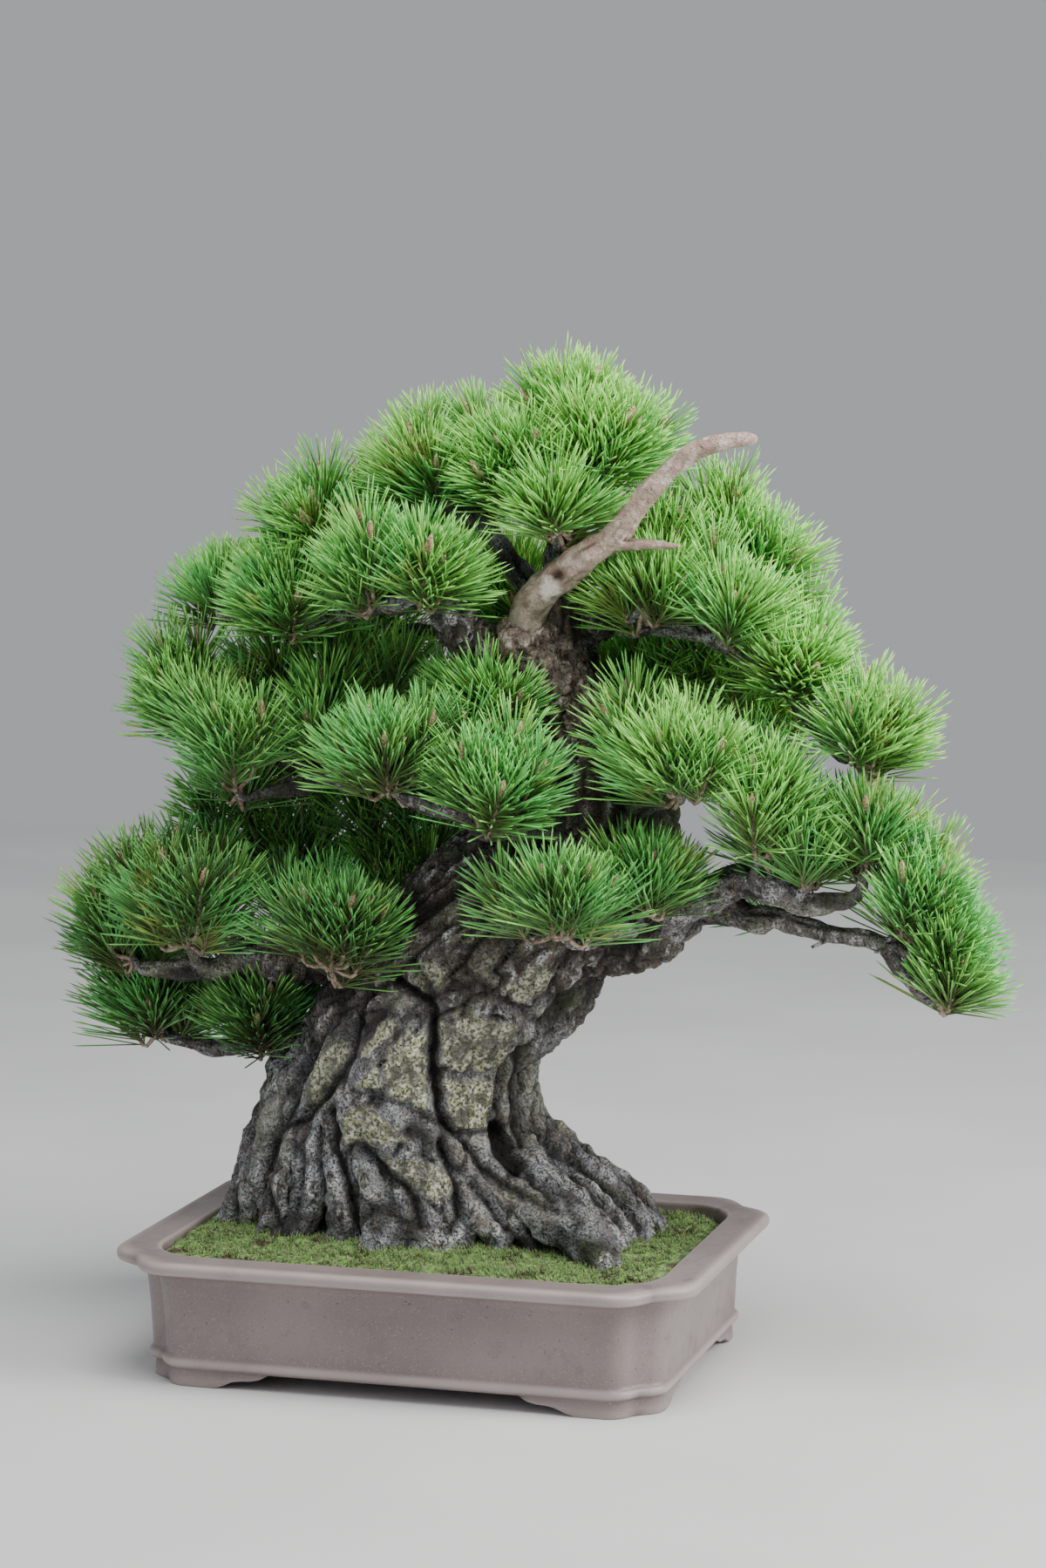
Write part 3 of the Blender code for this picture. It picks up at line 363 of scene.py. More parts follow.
def lift_over_gaps(ring):
    """Rings below the foot's top are squeezed between it and the gap's roof."""
    roof = foot_gap_roof(ring)
    top = FOOT_TOP * MM
    raised = roof + ring[:, 2] * (top - roof) / top
    return np.column_stack((ring[:, :2], np.where(ring[:, 2] < top, raised, ring[:, 2])))


pot_rings, pot_wear = [], []
for height, inset, wear in POT_UNDERSIDE:
    pot_rings.append(lift_over_gaps(pot_ring(inset, round_corner(CAVITY_CORNER), height)))
    pot_wear.append(wear)
for height, inset, notch, wear in POT_OUTSIDE:
    pot_rings.append(lift_over_gaps(pot_ring(inset, lobed_corner(notch), height)))
    pot_wear.append(wear)
for height, inset, wear in POT_INSIDE:
    pot_rings.append(pot_ring(inset, round_corner(CAVITY_CORNER), height))
    pot_wear.append(wear)
ring_size = len(pot_rings[0])
pot_poles = ((0, 0, FOOT_TOP * MM), (0, 0, FLOOR_HEIGHT * MM))
pot_points = np.vstack((*pot_rings, pot_poles)) + POT_MIDDLE
last_ring = len(pot_rings) * ring_size
pot_fans = np.vstack((fan(np.arange(ring_size), last_ring, flipped=True),
                      fan(np.arange(last_ring - ring_size, last_ring), last_ring + 1)))


def clay_material():
    """Unglazed stoneware: taupe with darker and paler clouds, fine grit, and paler worn
    edges. Slightly smooth, so that the lip catches the light."""
    material, tree, shader = new_material("stoneware")
    edge = product(tree, marked(tree, "wear"), mottle(tree, 22, -0.4, 0.75))
    colour = layered(
        tree, linear(118, 106, 105),
        (mottle(tree, 11, 0.35, 0.68), linear(131, 119, 117)),
        (mottle(tree, 45, 0.56, 0.78), linear(108, 97, 97)),
        (mottle(tree, 850, 0.60, 0.72, 1.0), linear(146, 134, 130)),
        (mottle(tree, 520, 0.70, 0.76, 1.0), linear(78, 69, 67)),
        (edge, linear(164, 152, 148)))
    fill_sockets(tree, shader, {
        "Base Color": colour,
        "Roughness": ranged(tree, mottle(tree, 45, 0.3, 0.7), 0.0, 1.0, 0.38, 0.50)})
    soft = bump(tree, shader, mottle(tree, 50, 0.2, 0.8), 0.0003, 0.4)
    bump(tree, shader, mottle(tree, 1100, 0.3, 0.7, 2.0), 0.00010, 0.5, soft)
    return material


pot = mesh_piece("stoneware_pot", pot_points, grid_quads(len(pot_rings), ring_size), pot_fans,
                 (clay_material(),))
wear = np.repeat(pot_wear, ring_size)
crease = np.zeros(ring_size)
corner_starts = np.cumsum((0, CORNER_POINTS + LONG_STEPS, CORNER_POINTS + SHORT_STEPS,
                           CORNER_POINTS + LONG_STEPS))
crease[corner_starts + LOBE_STEPS] = CREASE_WEAR
mark(pot, "wear", np.append(np.clip(wear + np.tile(crease, len(pot_rings)), 0, 1), (0, 0)))


def finished_mesh(piece):
    """The mesh of a piece with its modifiers applied."""
    bpy.context.view_layer.update()
    graph = bpy.context.evaluated_depsgraph_get()
    return bpy.data.meshes.new_from_object(piece.evaluated_get(graph))


def cut_away(piece, cutters):
    """Cut solids out of a piece and apply the cut."""
    for cutter in cutters:
        modifier = piece.modifiers.new("cut", "BOOLEAN")
        modifier.operation = "DIFFERENCE"
        modifier.solver = "EXACT"
        modifier.object = cutter
        cut = finished_mesh(piece)
        piece.modifiers.clear()
        piece.data = cut
        bpy.data.objects.remove(cutter, do_unlink=True)


def weld(piece, distance):
    """Merge points closer than a distance and drop faces that vanish."""
    form = bmesh.new()
    form.from_mesh(piece.data)
    bmesh.ops.remove_doubles(form, verts=form.verts, dist=distance)
    bmesh.ops.dissolve_degenerate(form, edges=form.edges, dist=distance / 2)
    form.to_mesh(piece.data)
    form.free()


def drain_plug(aside):
    """A round plug through the pot's floor: a circle at two heights, with a pole at each."""
    turns = np.linspace(0, 2 * math.pi, PLUG_SIDES, endpoint=False)
    circle = np.column_stack((np.cos(turns), np.sin(turns))) * DRAIN_RADIUS + (aside, 0)
    rings = [np.column_stack((circle, np.full(PLUG_SIDES, z))) for z in PLUG_HEIGHTS]
    poles = [(aside, 0, z) for z in PLUG_HEIGHTS]
    pole = 2 * PLUG_SIDES
    caps = np.vstack((fan(np.arange(PLUG_SIDES), pole, flipped=True),
                      fan(np.arange(PLUG_SIDES, pole), pole + 1)))
    return mesh_piece("drain", np.vstack((*rings, poles)) + POT_MIDDLE,
                      grid_quads(2, PLUG_SIDES), caps, ())


weld(pot, WELD_DISTANCE)
cut_away(pot, [drain_plug(aside) for aside in (-DRAIN_ASIDE, DRAIN_ASIDE)])
belongs(pot, "stoneware", "pot")


# Screens and soil: two squares of black plastic mesh lie over the drain holes, and gritty
# soil fills the pot above them. Both keep the shape of the frame's own solids.
def screen_material():
    """Black extruded plastic, faintly streaked."""
    material, tree, shader = new_material("screen_plastic")
    colour = layered(tree, linear(28, 28, 29), (mottle(tree, 300, 0.3, 0.7), linear(48, 48, 50)))
    fill_sockets(tree, shader, {"Base Color": colour, "Roughness": 0.5})
    bump(tree, shader, mottle(tree, 1500, 0.3, 0.7), 0.0001)
    return material


def soil_material():
    """Dark brown grit: grains of 2 to 4 mm, each of its own shade, in finer dust."""
    material, tree, shader = new_material("soil_grit")
    place = add_node(tree, "ShaderNodeTexCoord")
    grains = add_node(tree, "ShaderNodeTexVoronoi", {
        "Vector": place.outputs["Object"], "Scale": 330.0})
    grey = add_node(tree, "ShaderNodeSeparateColor", {"Color": grains.outputs["Color"]})
    colour = layered(tree, linear(50, 38, 30), (grey.outputs[0], linear(112, 90, 70)),
                     (mottle(tree, 120, 0.5, 0.7), linear(66, 52, 40)))
    fill_sockets(tree, shader, {"Base Color": colour, "Roughness": 0.95})
    bump(tree, shader, grains.outputs["Distance"], -0.0015)
    return material


def repaint(node, material):
    """Give a solid of the frame its finish."""
    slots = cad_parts[node].data.materials
    slots.clear()
    slots.append(material)


black_plastic = screen_material()
for side in ("left", "right"):
    repaint("drain_screen_" + side, black_plastic)
repaint("soil", soil_material())


# Moss: a living mat laid on the soil, nearly level with the rim and raised towards the
# roots, trimmed short, with yellow-green tips, brown bits and small shoots standing up.
MOSS_INSET = 31.4
MOSS_UNDERSIDE = 0.0803
MOSS_RINGS = 64
MOSS_LEVEL = 0.0965
MOUND_RISE = 0.008
HOLLOW_FALL = 0.006
# Cushions of the mat: the height and the width of each kind.
CUSHIONS = ((0.0018, 0.030), (0.0017, 0.011), (0.0009, 0.004))
# The mat falls by this much at its edge, from this share of the way out.
EDGE_FALL = 0.0035
EDGE_START = 0.965
EDGE_WIDTH = 0.035
MOSS_SHOOTS = 17000
SHOOT_HEIGHTS = (0.0026, 0.0066)
SHOOT_WIDTHS = (0.0004, 0.0009)
SHOOT_SINK = 0.0004
SHOOT_LEAN = 0.38
SHOOT_MARGIN = 0.985
# Shoots past this share of the way out are shorter.
EDGE_SHOOTS, EDGE_SHOOT_HEIGHT = 0.96, 0.6
SHOOT_TONES, TIP_TONE, MAT_TONE = (0.0, 0.55), 0.3, 0.12
THIRDS = np.arange(3) * 2 * math.pi / 3
# No shoots grow in this ellipse, where the root base stands.
ROOT_CENTRE = np.array((-0.030, 0.035))
ROOT_HALVES = np.array((0.125, 0.070))


def value_noise(points, size, seed):
    """Smooth noise from -1 to 1. Each corner of a lattice of cubes of this size has its own
    number, the fraction of a large sine, and they are blended by 3tt - 2ttt on each axis."""
    scaled = points / size
    cell = np.floor(scaled)
    share = scaled - cell
    share = share * share * (3 - 2 * share)
    total = np.zeros(len(points))
    for corner in itertools.product((0, 1), repeat=3):
        weight = np.prod(np.where(corner, share, 1 - share), axis=1)
        total += weight * cell_number(cell + np.array(corner), seed)
    return 2 * total - 1


def cell_number(cells, seed):
    """A number from 0 to 1 for each whole-number cell and seed."""
    value = np.sin(cells @ np.array((127.1, 311.7, 74.7)) + seed * 53.31) * 43758.5453
    return value - np.floor(value)


def ground_height(x, y):
    """The top of the moss: level with the rim, with one bell-shaped rise round the roots and
    a slight fall towards the back right."""
    mound = MOUND_RISE * np.exp(-((x + 0.02) / 0.15) ** 2 - ((y - 0.03) / 0.09) ** 2)
    hollow = HOLLOW_FALL / (1 + np.exp(-(x - 0.10) / 0.03)) / (1 + np.exp(-(y - 0.02) / 0.03))
    return MOSS_LEVEL + mound - hollow


def moss_height(flat, share):
    """Ground height with soft cushions of three widths, rounded down at the pot's wall."""
    place = np.column_stack((flat, np.zeros(len(flat))))
    cushions = sum(height * value_noise(place, width, seed)
                   for seed, (height, width) in enumerate(CUSHIONS, 1))
    rounding = EDGE_FALL * np.clip((share - EDGE_START) / EDGE_WIDTH, 0, 1) ** 2
    return ground_height(flat[:, 0], flat[:, 1]) + cushions - rounding


outline = pot_ring(MOSS_INSET, round_corner(CAVITY_CORNER), 0)[:, :2]
shares = np.linspace(0.02, 1, MOSS_RINGS) ** 0.8
flat = (shares[:, None, None] * outline[None]).reshape(-1, 2)
heights = moss_height(flat, np.repeat(shares, len(outline)))
under = np.column_stack((outline, np.full(len(outline), MOSS_UNDERSIDE)))
top_middle = moss_height(np.zeros((1, 2)), np.zeros(1))[0]
moss_points = np.vstack((np.column_stack((flat, heights)), under,
                         ((0, 0, top_middle), (0, 0, MOSS_UNDERSIDE)))) + POT_MIDDLE
rows = MOSS_RINGS + 1
count = rows * len(outline)
moss_quads = grid_quads(rows, len(outline))[:, ::-1]
moss_fans = np.vstack((fan(np.arange(len(outline)), count),
                       fan(np.arange(count - len(outline), count), count + 1, flipped=True)))


def unit(vectors):
    """Vectors of length 1 in the same directions, for one row or many."""
    vectors = np.asarray(vectors, dtype=float)
    return vectors / np.linalg.norm(vectors, axis=-1, keepdims=True)


def spokes(side, other, turns):
    """Directions at turns round an axis, from its two cross directions: side times the
    cosine and other times the sine, for each row and each turn."""
    return (np.cos(turns)[None, :, None] * side[:, None]
            + np.sin(turns)[None, :, None] * other[:, None])


def spikes(places, ways, heights, width, draw):
    """Three-sided spikes: three base corners round each place, and a point at its height
    along its way. Returns points and triangles."""
    number = len(places)
    side = unit(np.cross(ways, draw.normal(size=(number, 3))))
    other = np.cross(ways, side)
    ring = places[:, None] + width[:, None, None] * spokes(side, other, THIRDS)
    tips = places + ways * heights[:, None]
    points = np.concatenate((ring, tips[:, None]), axis=1).reshape(-1, 3)
    first = 4 * np.arange(number)[:, None]
    faces = np.array(((0, 1, 3), (1, 2, 3), (2, 0, 3), (2, 1, 0)))
    return points, (first[:, None] + faces[None]).reshape(-1, 3)


draw = np.random.default_rng(11)
spot = draw.uniform(0, 1, (2, MOSS_SHOOTS))
edge_point = outline[(spot[0] * len(outline)).astype(int)]
reach = np.sqrt(spot[1])
feet = edge_point * reach[:, None] * SHOOT_MARGIN
outside_root = np.sum(((feet - ROOT_CENTRE) / ROOT_HALVES) ** 2, axis=1) > 1
feet, reach = feet[outside_root], reach[outside_root]
stand = np.column_stack((feet, moss_height(feet, reach) - SHOOT_SINK)) + POT_MIDDLE
lean = unit(draw.normal(0, SHOOT_LEAN, (len(feet), 3)) + UP)
tall = draw.uniform(*SHOOT_HEIGHTS, len(feet))
tall = tall * np.where(reach > EDGE_SHOOTS, EDGE_SHOOT_HEIGHT, 1.0)
thick = draw.uniform(*SHOOT_WIDTHS, len(feet))
shoot_points, shoot_faces = spikes(stand, lean, tall, thick, draw)


def moss_material():
    """Moss: greens by clumps, each shoot a little different, with straw and earth between."""
    material, tree, shader = new_material("moss_green")
    colour = layered(
        tree, linear(58, 82, 44),
        (mottle(tree, 105, 0.40, 0.60, 4.0), linear(136, 176, 98)),
        (marked(tree, "tone"), linear(186, 226, 140)),
        (mottle(tree, 240, 0.57, 0.64), linear(176, 164, 130)),
        (mottle(tree, 46, 0.56, 0.68), linear(88, 76, 56)))
    fill_sockets(tree, shader, {"Base Color": colour, "Roughness": 0.9})
    soft = bump(tree, shader, mottle(tree, 260, 0.25, 0.75), 0.0018)
    bump(tree, shader, mottle(tree, 900, 0.25, 0.75), 0.0008, 1.0, soft)
    return material


moss = mesh_piece("moss_mat", np.vstack((moss_points, shoot_points)), moss_quads,
                  np.vstack((moss_fans, shoot_faces + len(moss_points))), (moss_material(),))
tones = np.repeat(draw.uniform(*SHOOT_TONES, len(feet)), 4)
tones[3::4] += TIP_TONE
mark(moss, "tone", np.append(np.full(len(moss_points), MAT_TONE), tones))
belongs(moss, "moss", "moss")


# Trunk and roots: one old pine stem, widest where it meets the moss, where strands of
# root run down its flare and part into toes. It leans right, then stands up again. Thick
# plated bark with deep furrows, and dry pale lichen on the plates.

# Where the photograph was taken from, for the places given as they are seen.
EYE = np.array((0.90, -2.87, 0.80))
# The main trunk: x, z, depth and radius.
TRUNK = (
    (-19, 76, 35, 78), (-19, 108, 35, 80), (-30, 160, 32, 84), (-34, 205, 28, 84),
    (-28, 245, 25, 80), (-2, 285, 24, 80), (34, 322, 24, 80), (72, 360, 24, 70),
    (110, 398, 24, 55), (131, 432, 22, 44), (127, 468, 20, 36), (110, 500, 15, 29),
    (92, 528, 12, 22), (90, 545, 12, 16))

# The root base: half width, half depth and middle of the flare at each height.
FLARE_HEIGHTS = (0.092, 0.106, 0.130, 0.168, 0.220, 0.275)
FLARE_HALF_WIDTHS = (0.178, 0.170, 0.150, 0.116, 0.1025, 0.078)
FLARE_HALF_DEPTHS = (0.108, 0.103, 0.095, 0.086, 0.078, 0.062)
FLARE_MIDDLES = (-0.020, -0.022, -0.033, -0.053, -0.0475, -0.013)
TOP_LEVEL = len(FLARE_HEIGHTS) - 1
LEVELS = np.arange(TOP_LEVEL + 1)
STRAND_SWELL = (0.55, 0.9, 1.15, 1.42, 1.65, 1.25)
STRAND_TWIST = 14.0
REACH_LEVELS = 3

# Surface roots round the base: bearing in degrees, reach against the flare, radius.
ROOTS = (
    (205, 1.05, 13), (221, 0.95, 14), (235, 0.98, 12), (249, 0.96, 14), (262, 0.98, 13),
    (273, 1.00, 12), (284, 0.95, 13), (297, 0.92, 14), (313, 1.45, 15), (332, 1.08, 14),
    (355, 1.00, 15), (22, 1.10, 15), (50, 1.12, 15), (80, 1.00, 16), (110, 0.97, 16),
    (138, 1.00, 15), (162, 0.97, 15), (184, 0.95, 14))

# Limb roots that the trunk swells into, as points of LIMBS below: how many rows of each.
LIMB_SWELLS = {
    "leader": 4, "jin_base": 4, "left_upper": 4, "right_upper": 5, "left_middle": 3,
    "centre_left": 2, "right_low": 4, "left_low": 4, "back_low": 2, "back_left_low": 2,
    "back_middle": 2}
# Limbs of live wood: x, z, depth and radius along each.
LIMBS = {
    "leader": (
        (92, 520, 12, 22), (92, 550, 13, 17), (94, 580, 15, 15), (90, 615, 12, 13),
        (93, 655, 4, 11), (99, 690, 0, 9), (102, 706, 0, 6)),
    "jin_base": ((90, 512, 6, 20), (72, 532, -10, 18), (64, 553, -21, 16), (64, 572, -27, 15)),
    "left_upper": (
        (80, 518, 10, 15), (52, 538, -5, 13), (29, 553, -18, 12), (5, 575, -35, 12),
        (-10, 590, -46, 10), (-24, 594, -52, 8), (-42, 589, -54, 6), (-56, 588, -56, 4)),
    "left_shoulder": (
        (-14, 592, -44, 8), (-55, 586, -22, 6.5), (-95, 579, -8, 5.5), (-130, 574, 4, 5),
        (-160, 578, 24, 4.5), (-176, 580, 36, 4)),
    "crown_left": (
        (92, 572, 15, 12), (66, 602, 18, 9), (45, 634, 18, 8), (22, 655, 8, 7),
        (-6, 664, 0, 6), (-45, 662, 10, 5), (-76, 652, 14, 4)),
    "right_upper": (
        (94, 528, 16, 17), (94, 548, 20, 15), (98, 565, 21, 13), (110, 578, 18, 12),
        (130, 584, 10, 11), (153, 580, 0, 9), (180, 576, -8, 8), (208, 570, -10, 7),
        (240, 553, -5, 6.5), (268, 526, 0, 6), (292, 498, -6, 5.5), (308, 482, -10, 4.5)),
    "right_shoulder": ((172, 578, -6, 7), (192, 586, 12, 6), (208, 592, 28, 4.5)),
    "left_middle": (
        (118, 476, 20, 20), (80, 468, 10, 16), (40, 461, 5, 13), (0, 457, 5, 12),
        (-50, 454, 4, 10), (-100, 450, 0, 8.5), (-140, 443, -8, 6.5), (-160, 437, -16, 5)),
    "left_outer": (
        (-92, 451, 2, 7), (-130, 465, 18, 6.5), (-165, 480, 30, 5.5), (-186, 488, 34, 4.5)),
    "centre_left": (
        (125, 436, 10, 18), (95, 430, -22, 14), (62, 422, -50, 11), (30, 418, -66, 9),
        (-8, 430, -74, 7), (-36, 440, -76, 5)),
    "centre_right": ((140, 436, 4, 14), (160, 442, -30, 9), (178, 447, -52, 5.5)),
    "right_low": (
        (95, 350, 15, 36), (125, 345, 8, 31), (150, 344, 2, 26), (172, 351, -5, 22),
        (198, 369, -10, 18), (226, 381, -14, 14), (246, 379, -18, 12), (266, 373, -20, 10),
        (286, 371, -22, 9), (312, 371, -24, 7.5), (324, 377, -24, 6), (327, 386, -24, 5)),
    "right_tip": (
        (178, 356, 0, 15), (205, 362, 2, 13), (228, 362, 0, 12), (253, 356, -3, 9.5),
        (273, 352, -6, 8), (300, 347, -8, 7), (333, 345, -10, 6.5), (347, 337, -12, 6),
        (357, 321, -14, 5.5), (370, 307, -15, 5), (380, 300, -15, 4)),
    "right_end": ((326, 345, -10, 6), (348, 340, -12, 5), (366, 333, -14, 4)),
    "left_low": (
        (-30, 325, 30, 34), (-78, 322, 28, 25), (-118, 316, 22, 19), (-150, 307, 12, 15),
        (-178, 301, 5, 12), (-215, 297, 0, 9.5), (-240, 294, 4, 7.5), (-254, 295, 10, 5)),
    "left_under": (
        (-100, 315, 34, 16), (-126, 288, 50, 12), (-143, 256, 58, 10), (-175, 240, 58, 8),
        (-212, 236, 56, 6.5), (-232, 240, 54, 4.5)),
    "left_front": ((-40, 312, 0, 18), (-70, 305, -28, 10), (-86, 299, -44, 6)),
    "front_low": (
        (158, 350, -8, 12), (148, 346, -40, 8), (128, 339, -72, 6), (108, 331, -92, 5),
        (99, 330, -98, 4)),
    "back_low": ((45, 345, 50, 24), (50, 366, 92, 14), (55, 380, 122, 8), (58, 386, 136, 5)),
    "back_left_low": (
        (0, 322, 55, 22), (-26, 340, 86, 13), (-48, 350, 104, 8), (-84, 356, 108, 6),
        (-108, 360, 106, 4.5)),
    "back_middle": ((128, 442, 36, 20), (131, 456, 75, 12), (137, 470, 104, 7), (139, 478, 116, 5)),
    "back_right": ((131, 454, 70, 10), (165, 474, 90, 7), (200, 486, 96, 5.5), (216, 490, 97, 4.5)),
    "right_behind": ((215, 374, -2, 11), (240, 382, 35, 7), (256, 389, 56, 4.5)),
    "back_left": ((30, 459, 8, 12), (-5, 463, 48, 8), (-36, 470, 82, 6.5), (-52, 473, 96, 4.5)),
    "back_upper": ((92, 556, 16, 14), (83, 566, 55, 9), (70, 576, 88, 6.5), (63, 580, 99, 5)),
    "back_left_upper": (
        (78, 570, 68, 8), (25, 570, 84, 6.5), (-35, 570, 90, 5.5), (-66, 573, 90, 4.5)),
}

# Furrows in the front of the trunk as seen from the front (x, z), each with depth and width.
FURROWS = (
    (11, 4.5, ((-43, 299), (-24, 286), (-9, 274), (-11, 266), (-13, 231), (-10, 204), (-6, 186),
               (4, 177))),
    (5, 3.5, ((-77, 206), (-49, 202), (-29, 194), (-19, 191), (-8, 190))),
    (4, 3, ((-8, 228), (6, 227), (30, 226), (42, 234))),
    (6, 4, ((1, 178), (16, 177), (30, 179), (35, 206), (42, 234), (56, 249))),
    (8, 4.5, ((-60, 290), (-72, 265), (-76, 237), (-92, 209), (-111, 187), (-133, 174))),
    (8, 5, ((-101, 245), (-116, 217), (-128, 188), (-141, 159), (-147, 126), (-141, 94))),
    (7, 4.5, ((-113, 249), (-143, 211), (-162, 172), (-173, 134), (-178, 91))),
    (6, 4, ((-145, 206), (-170, 172), (-182, 136), (-188, 100))),
    (9, 5, ((-94, 190), (-90, 158), (-80, 126), (-73, 93))),
    (8, 5, ((-68, 161), (-49, 142), (-30, 126), (-23, 101))),
    (6, 4, ((-104, 175), (-102, 141), (-100, 115), (-105, 91))),
    (7, 4.5, ((-20, 190), (9, 173), (25, 153), (44, 138), (89, 118))),
    (8, 5, ((-8, 167), (4, 140), (8, 113), (-1, 98))),
    (7, 4.5, ((18, 136), (32, 123), (46, 101))),
    (14, 8, ((38, 182), (44, 165), (54, 152))),
    (8, 5, ((56, 249), (49, 216), (53, 184), (63, 148), (84, 127))),
    (8, 5, ((70, 176), (96, 150), (119, 129), (140, 110))),
    (7, 4, ((96, 164), (119, 145), (144, 121))),
    (6, 5, ((72, 270), (42, 287), (18, 302), (9, 319))),
    (6, 4, ((-29, 313), (-15, 295), (-5, 275))),
    (7, 5, ((135, 314), (100, 296), (72, 270))))
# Thick bark plates on the front with the most lichen: their outlines as seen (x, z).
PLATES = (
    ((-8, 266), (18, 274), (53, 269), (52, 253), (36, 234), (28, 229), (-6, 230)),
    ((-7, 223), (31, 224), (31, 204), (26, 182), (6, 181), (-3, 193)),
    ((-53, 229), (-44, 248), (-29, 260), (-16, 256), (-17, 195), (-29, 197), (-49, 206)),
    ((-76, 210), (-63, 224), (-56, 229), (-52, 207)),
    ((-107, 238), (-92, 250), (-77, 246), (-82, 230), (-94, 209), (-108, 189), (-112, 208)),
    ((-70, 238), (-53, 264), (-34, 269), (-44, 253), (-60, 236)),
    ((-86, 188), (-68, 199), (-44, 184), (-32, 169), (-63, 162), (-84, 165)),
    ((-31, 302), (-15, 316), (2, 303), (-13, 284), (-24, 290)),
    ((44, 298), (70, 318), (88, 312), (70, 288), (49, 283)),
    ((-172, 167), (-162, 191), (-150, 205), (-140, 206), (-153, 184), (-167, 162)),
    ((-63, 155), (-30, 157), (6, 145), (11, 129), (-15, 120), (-44, 137)),
    ((27, 146), (56, 139), (84, 127), (77, 119), (46, 131)))
# The stump of a limb cut off long ago, beside the dead branch.
KNOT = ((96, 530, 16, 11), (88, 534, -4, 9.5), (86, 535, -16, 10), (85, 536, -20, 8))
# The wood is swept as tubes, with points this far apart along them, and merged in cubes.
ROUTE_GAP = 0.006
KNOT_GAP = 0.004
TRUNK_SIDES, SWELL_SIDES, ROOT_SIDES, STRAND_SIDES, KNOT_SIDES = 40, 24, 20, 12, 20
TRUNK_VOXEL = 0.0026
# A direction that no wood follows, from which cross directions are taken.
CROSS_GUIDE = (0.31, 0.95, 0.05)
MINOR_STRANDS = 46
# Slow unevenness, each with its size: of a root's width as a share, of the stem in metres,
# and of the drawn furrows and plates in millimetres.
KNOTTINESS, KNOT_SIZE = 0.12, 0.022
STEM_SWELL, STEM_SWELL_SIZE = 0.004, 0.045
LINE_STRAY, LINE_STRAY_SIZE = 1.6, 0.009
TRUNK_FURROWS = 0.0175
TRUNK_RELIEF = 0.0054
GRAIN_WIDTH = 0.11
# Plates of the upper stem: their size, and the depth of the cracks between them.
UPPER_PLATES = 0.034
UPPER_CRACK = 0.0026
# The roughness of all plates, and how far those of the front stand out.
PLATE_ROUGH = 0.0012
PLATE_RISE = 0.0040
# A drawn furrow is at its darkest from this depth in millimetres: the bark's own darker furrow and
# painted shade in it.
DARK_FURROW = 8
# The bark is worn to the wood near the dead branch's foot, the stump and these places:
# fully up to the first distance, and not past the second.
WORN_PLACES = ((64, 578, -30), (66, 564, -30), (70, 550, -30))
BARE_REACH = (0.028, 0.038)


def seen(x, z, y):
    """A place given in millimetres as it is seen from the front: on the line from the eye
    through (x, 0, z), where that line reaches the depth y. In metres from the pot's middle."""
    start = np.array((x * MM, 0.0, z * MM))
    return EYE + (start - EYE) * (y * MM - EYE[1]) / (0.0 - EYE[1])


def seen_rows(rows):
    """Places and radii in metres along wood given as (x, z, y, radius) in millimetres."""
    return np.array([(*seen(x, z, y), radius * MM) for x, z, y, radius in rows])


def smooth_route(rows, gap):
    """A smooth curve through rows, with points about a gap apart. Each value follows the
    cubic whose slope at a row is half the difference of its neighbours."""
    ends = np.vstack((2 * rows[0] - rows[1], rows, 2 * rows[-1] - rows[-2]))
    pieces = []
    for number, length in enumerate(np.linalg.norm(np.diff(rows[:, :3], axis=0), axis=1)):
        share = np.arange(max(1, round(length / gap)))[:, None] / max(1, round(length / gap))
        before, start, finish, after = ends[number:number + 4]
        pieces.append(0.5 * (2 * start + (finish - before) * share
                             + (2 * before - 5 * start + 4 * finish - after) * share ** 2
                             + (3 * start - before - 3 * finish + after) * share ** 3))
    return np.vstack((*pieces, rows[-1:]))


def ring_frames(route):
    """Direction and two cross directions at each point of a route, turned along it with no
    twist: each cross direction is the last one laid into the next ring's plane."""
    ways = unit(np.gradient(route[:, :3], axis=0))
    sides = np.empty_like(ways)
    side = np.cross(ways[0], CROSS_GUIDE)
    for number, way in enumerate(ways):
        side = unit(side - way * (side @ way))
        sides[number] = side
    return ways, sides, np.cross(ways, sides)


def sweep(route, sides, first=0):
    """A closed tube: a circle of the route's radius carried along it, with a pole at each
    end. Returns points, quads, triangles, and at each point the outward direction, the
    radius, and its place in the grain: across by the turn, up by the length so far."""
    ways, side, other = ring_frames(route)
    turns = np.linspace(0, 2 * math.pi, sides, endpoint=False)
    outward = spokes(side, other, turns)
    rings = route[:, None, :3] + outward * route[:, 3][:, None, None]
    ends = route[[0, -1], :3] + ways[[0, -1]] * route[[0, -1], 3][:, None] * ((-0.4,), (0.4,))
    points = np.vstack((rings.reshape(-1, 3), ends))
    outward = np.vstack((outward.reshape(-1, 3), -ways[:1], ways[-1:]))
    radii = np.append(np.repeat(route[:, 3], sides), route[[0, -1], 3])
    count = len(route) * sides
    caps = np.vstack((fan(np.arange(sides), count, flipped=True),
                      fan(np.arange(count - sides, count), count + 1)))
    run = np.append(0, np.cumsum(np.linalg.norm(np.diff(route[:, :3], axis=0), axis=1)))
    circle = np.column_stack((np.cos(turns), np.sin(turns)))
    grain = np.dstack((circle[None] * route[:, None, 3:],
                       np.repeat(run[:, None], sides, axis=1))).reshape(-1, 3)
    grain = np.vstack((grain, (0, 0, 0), (0, 0, run[-1])))
    return points, grid_quads(len(route), sides) + first, caps + first, outward, radii, grain


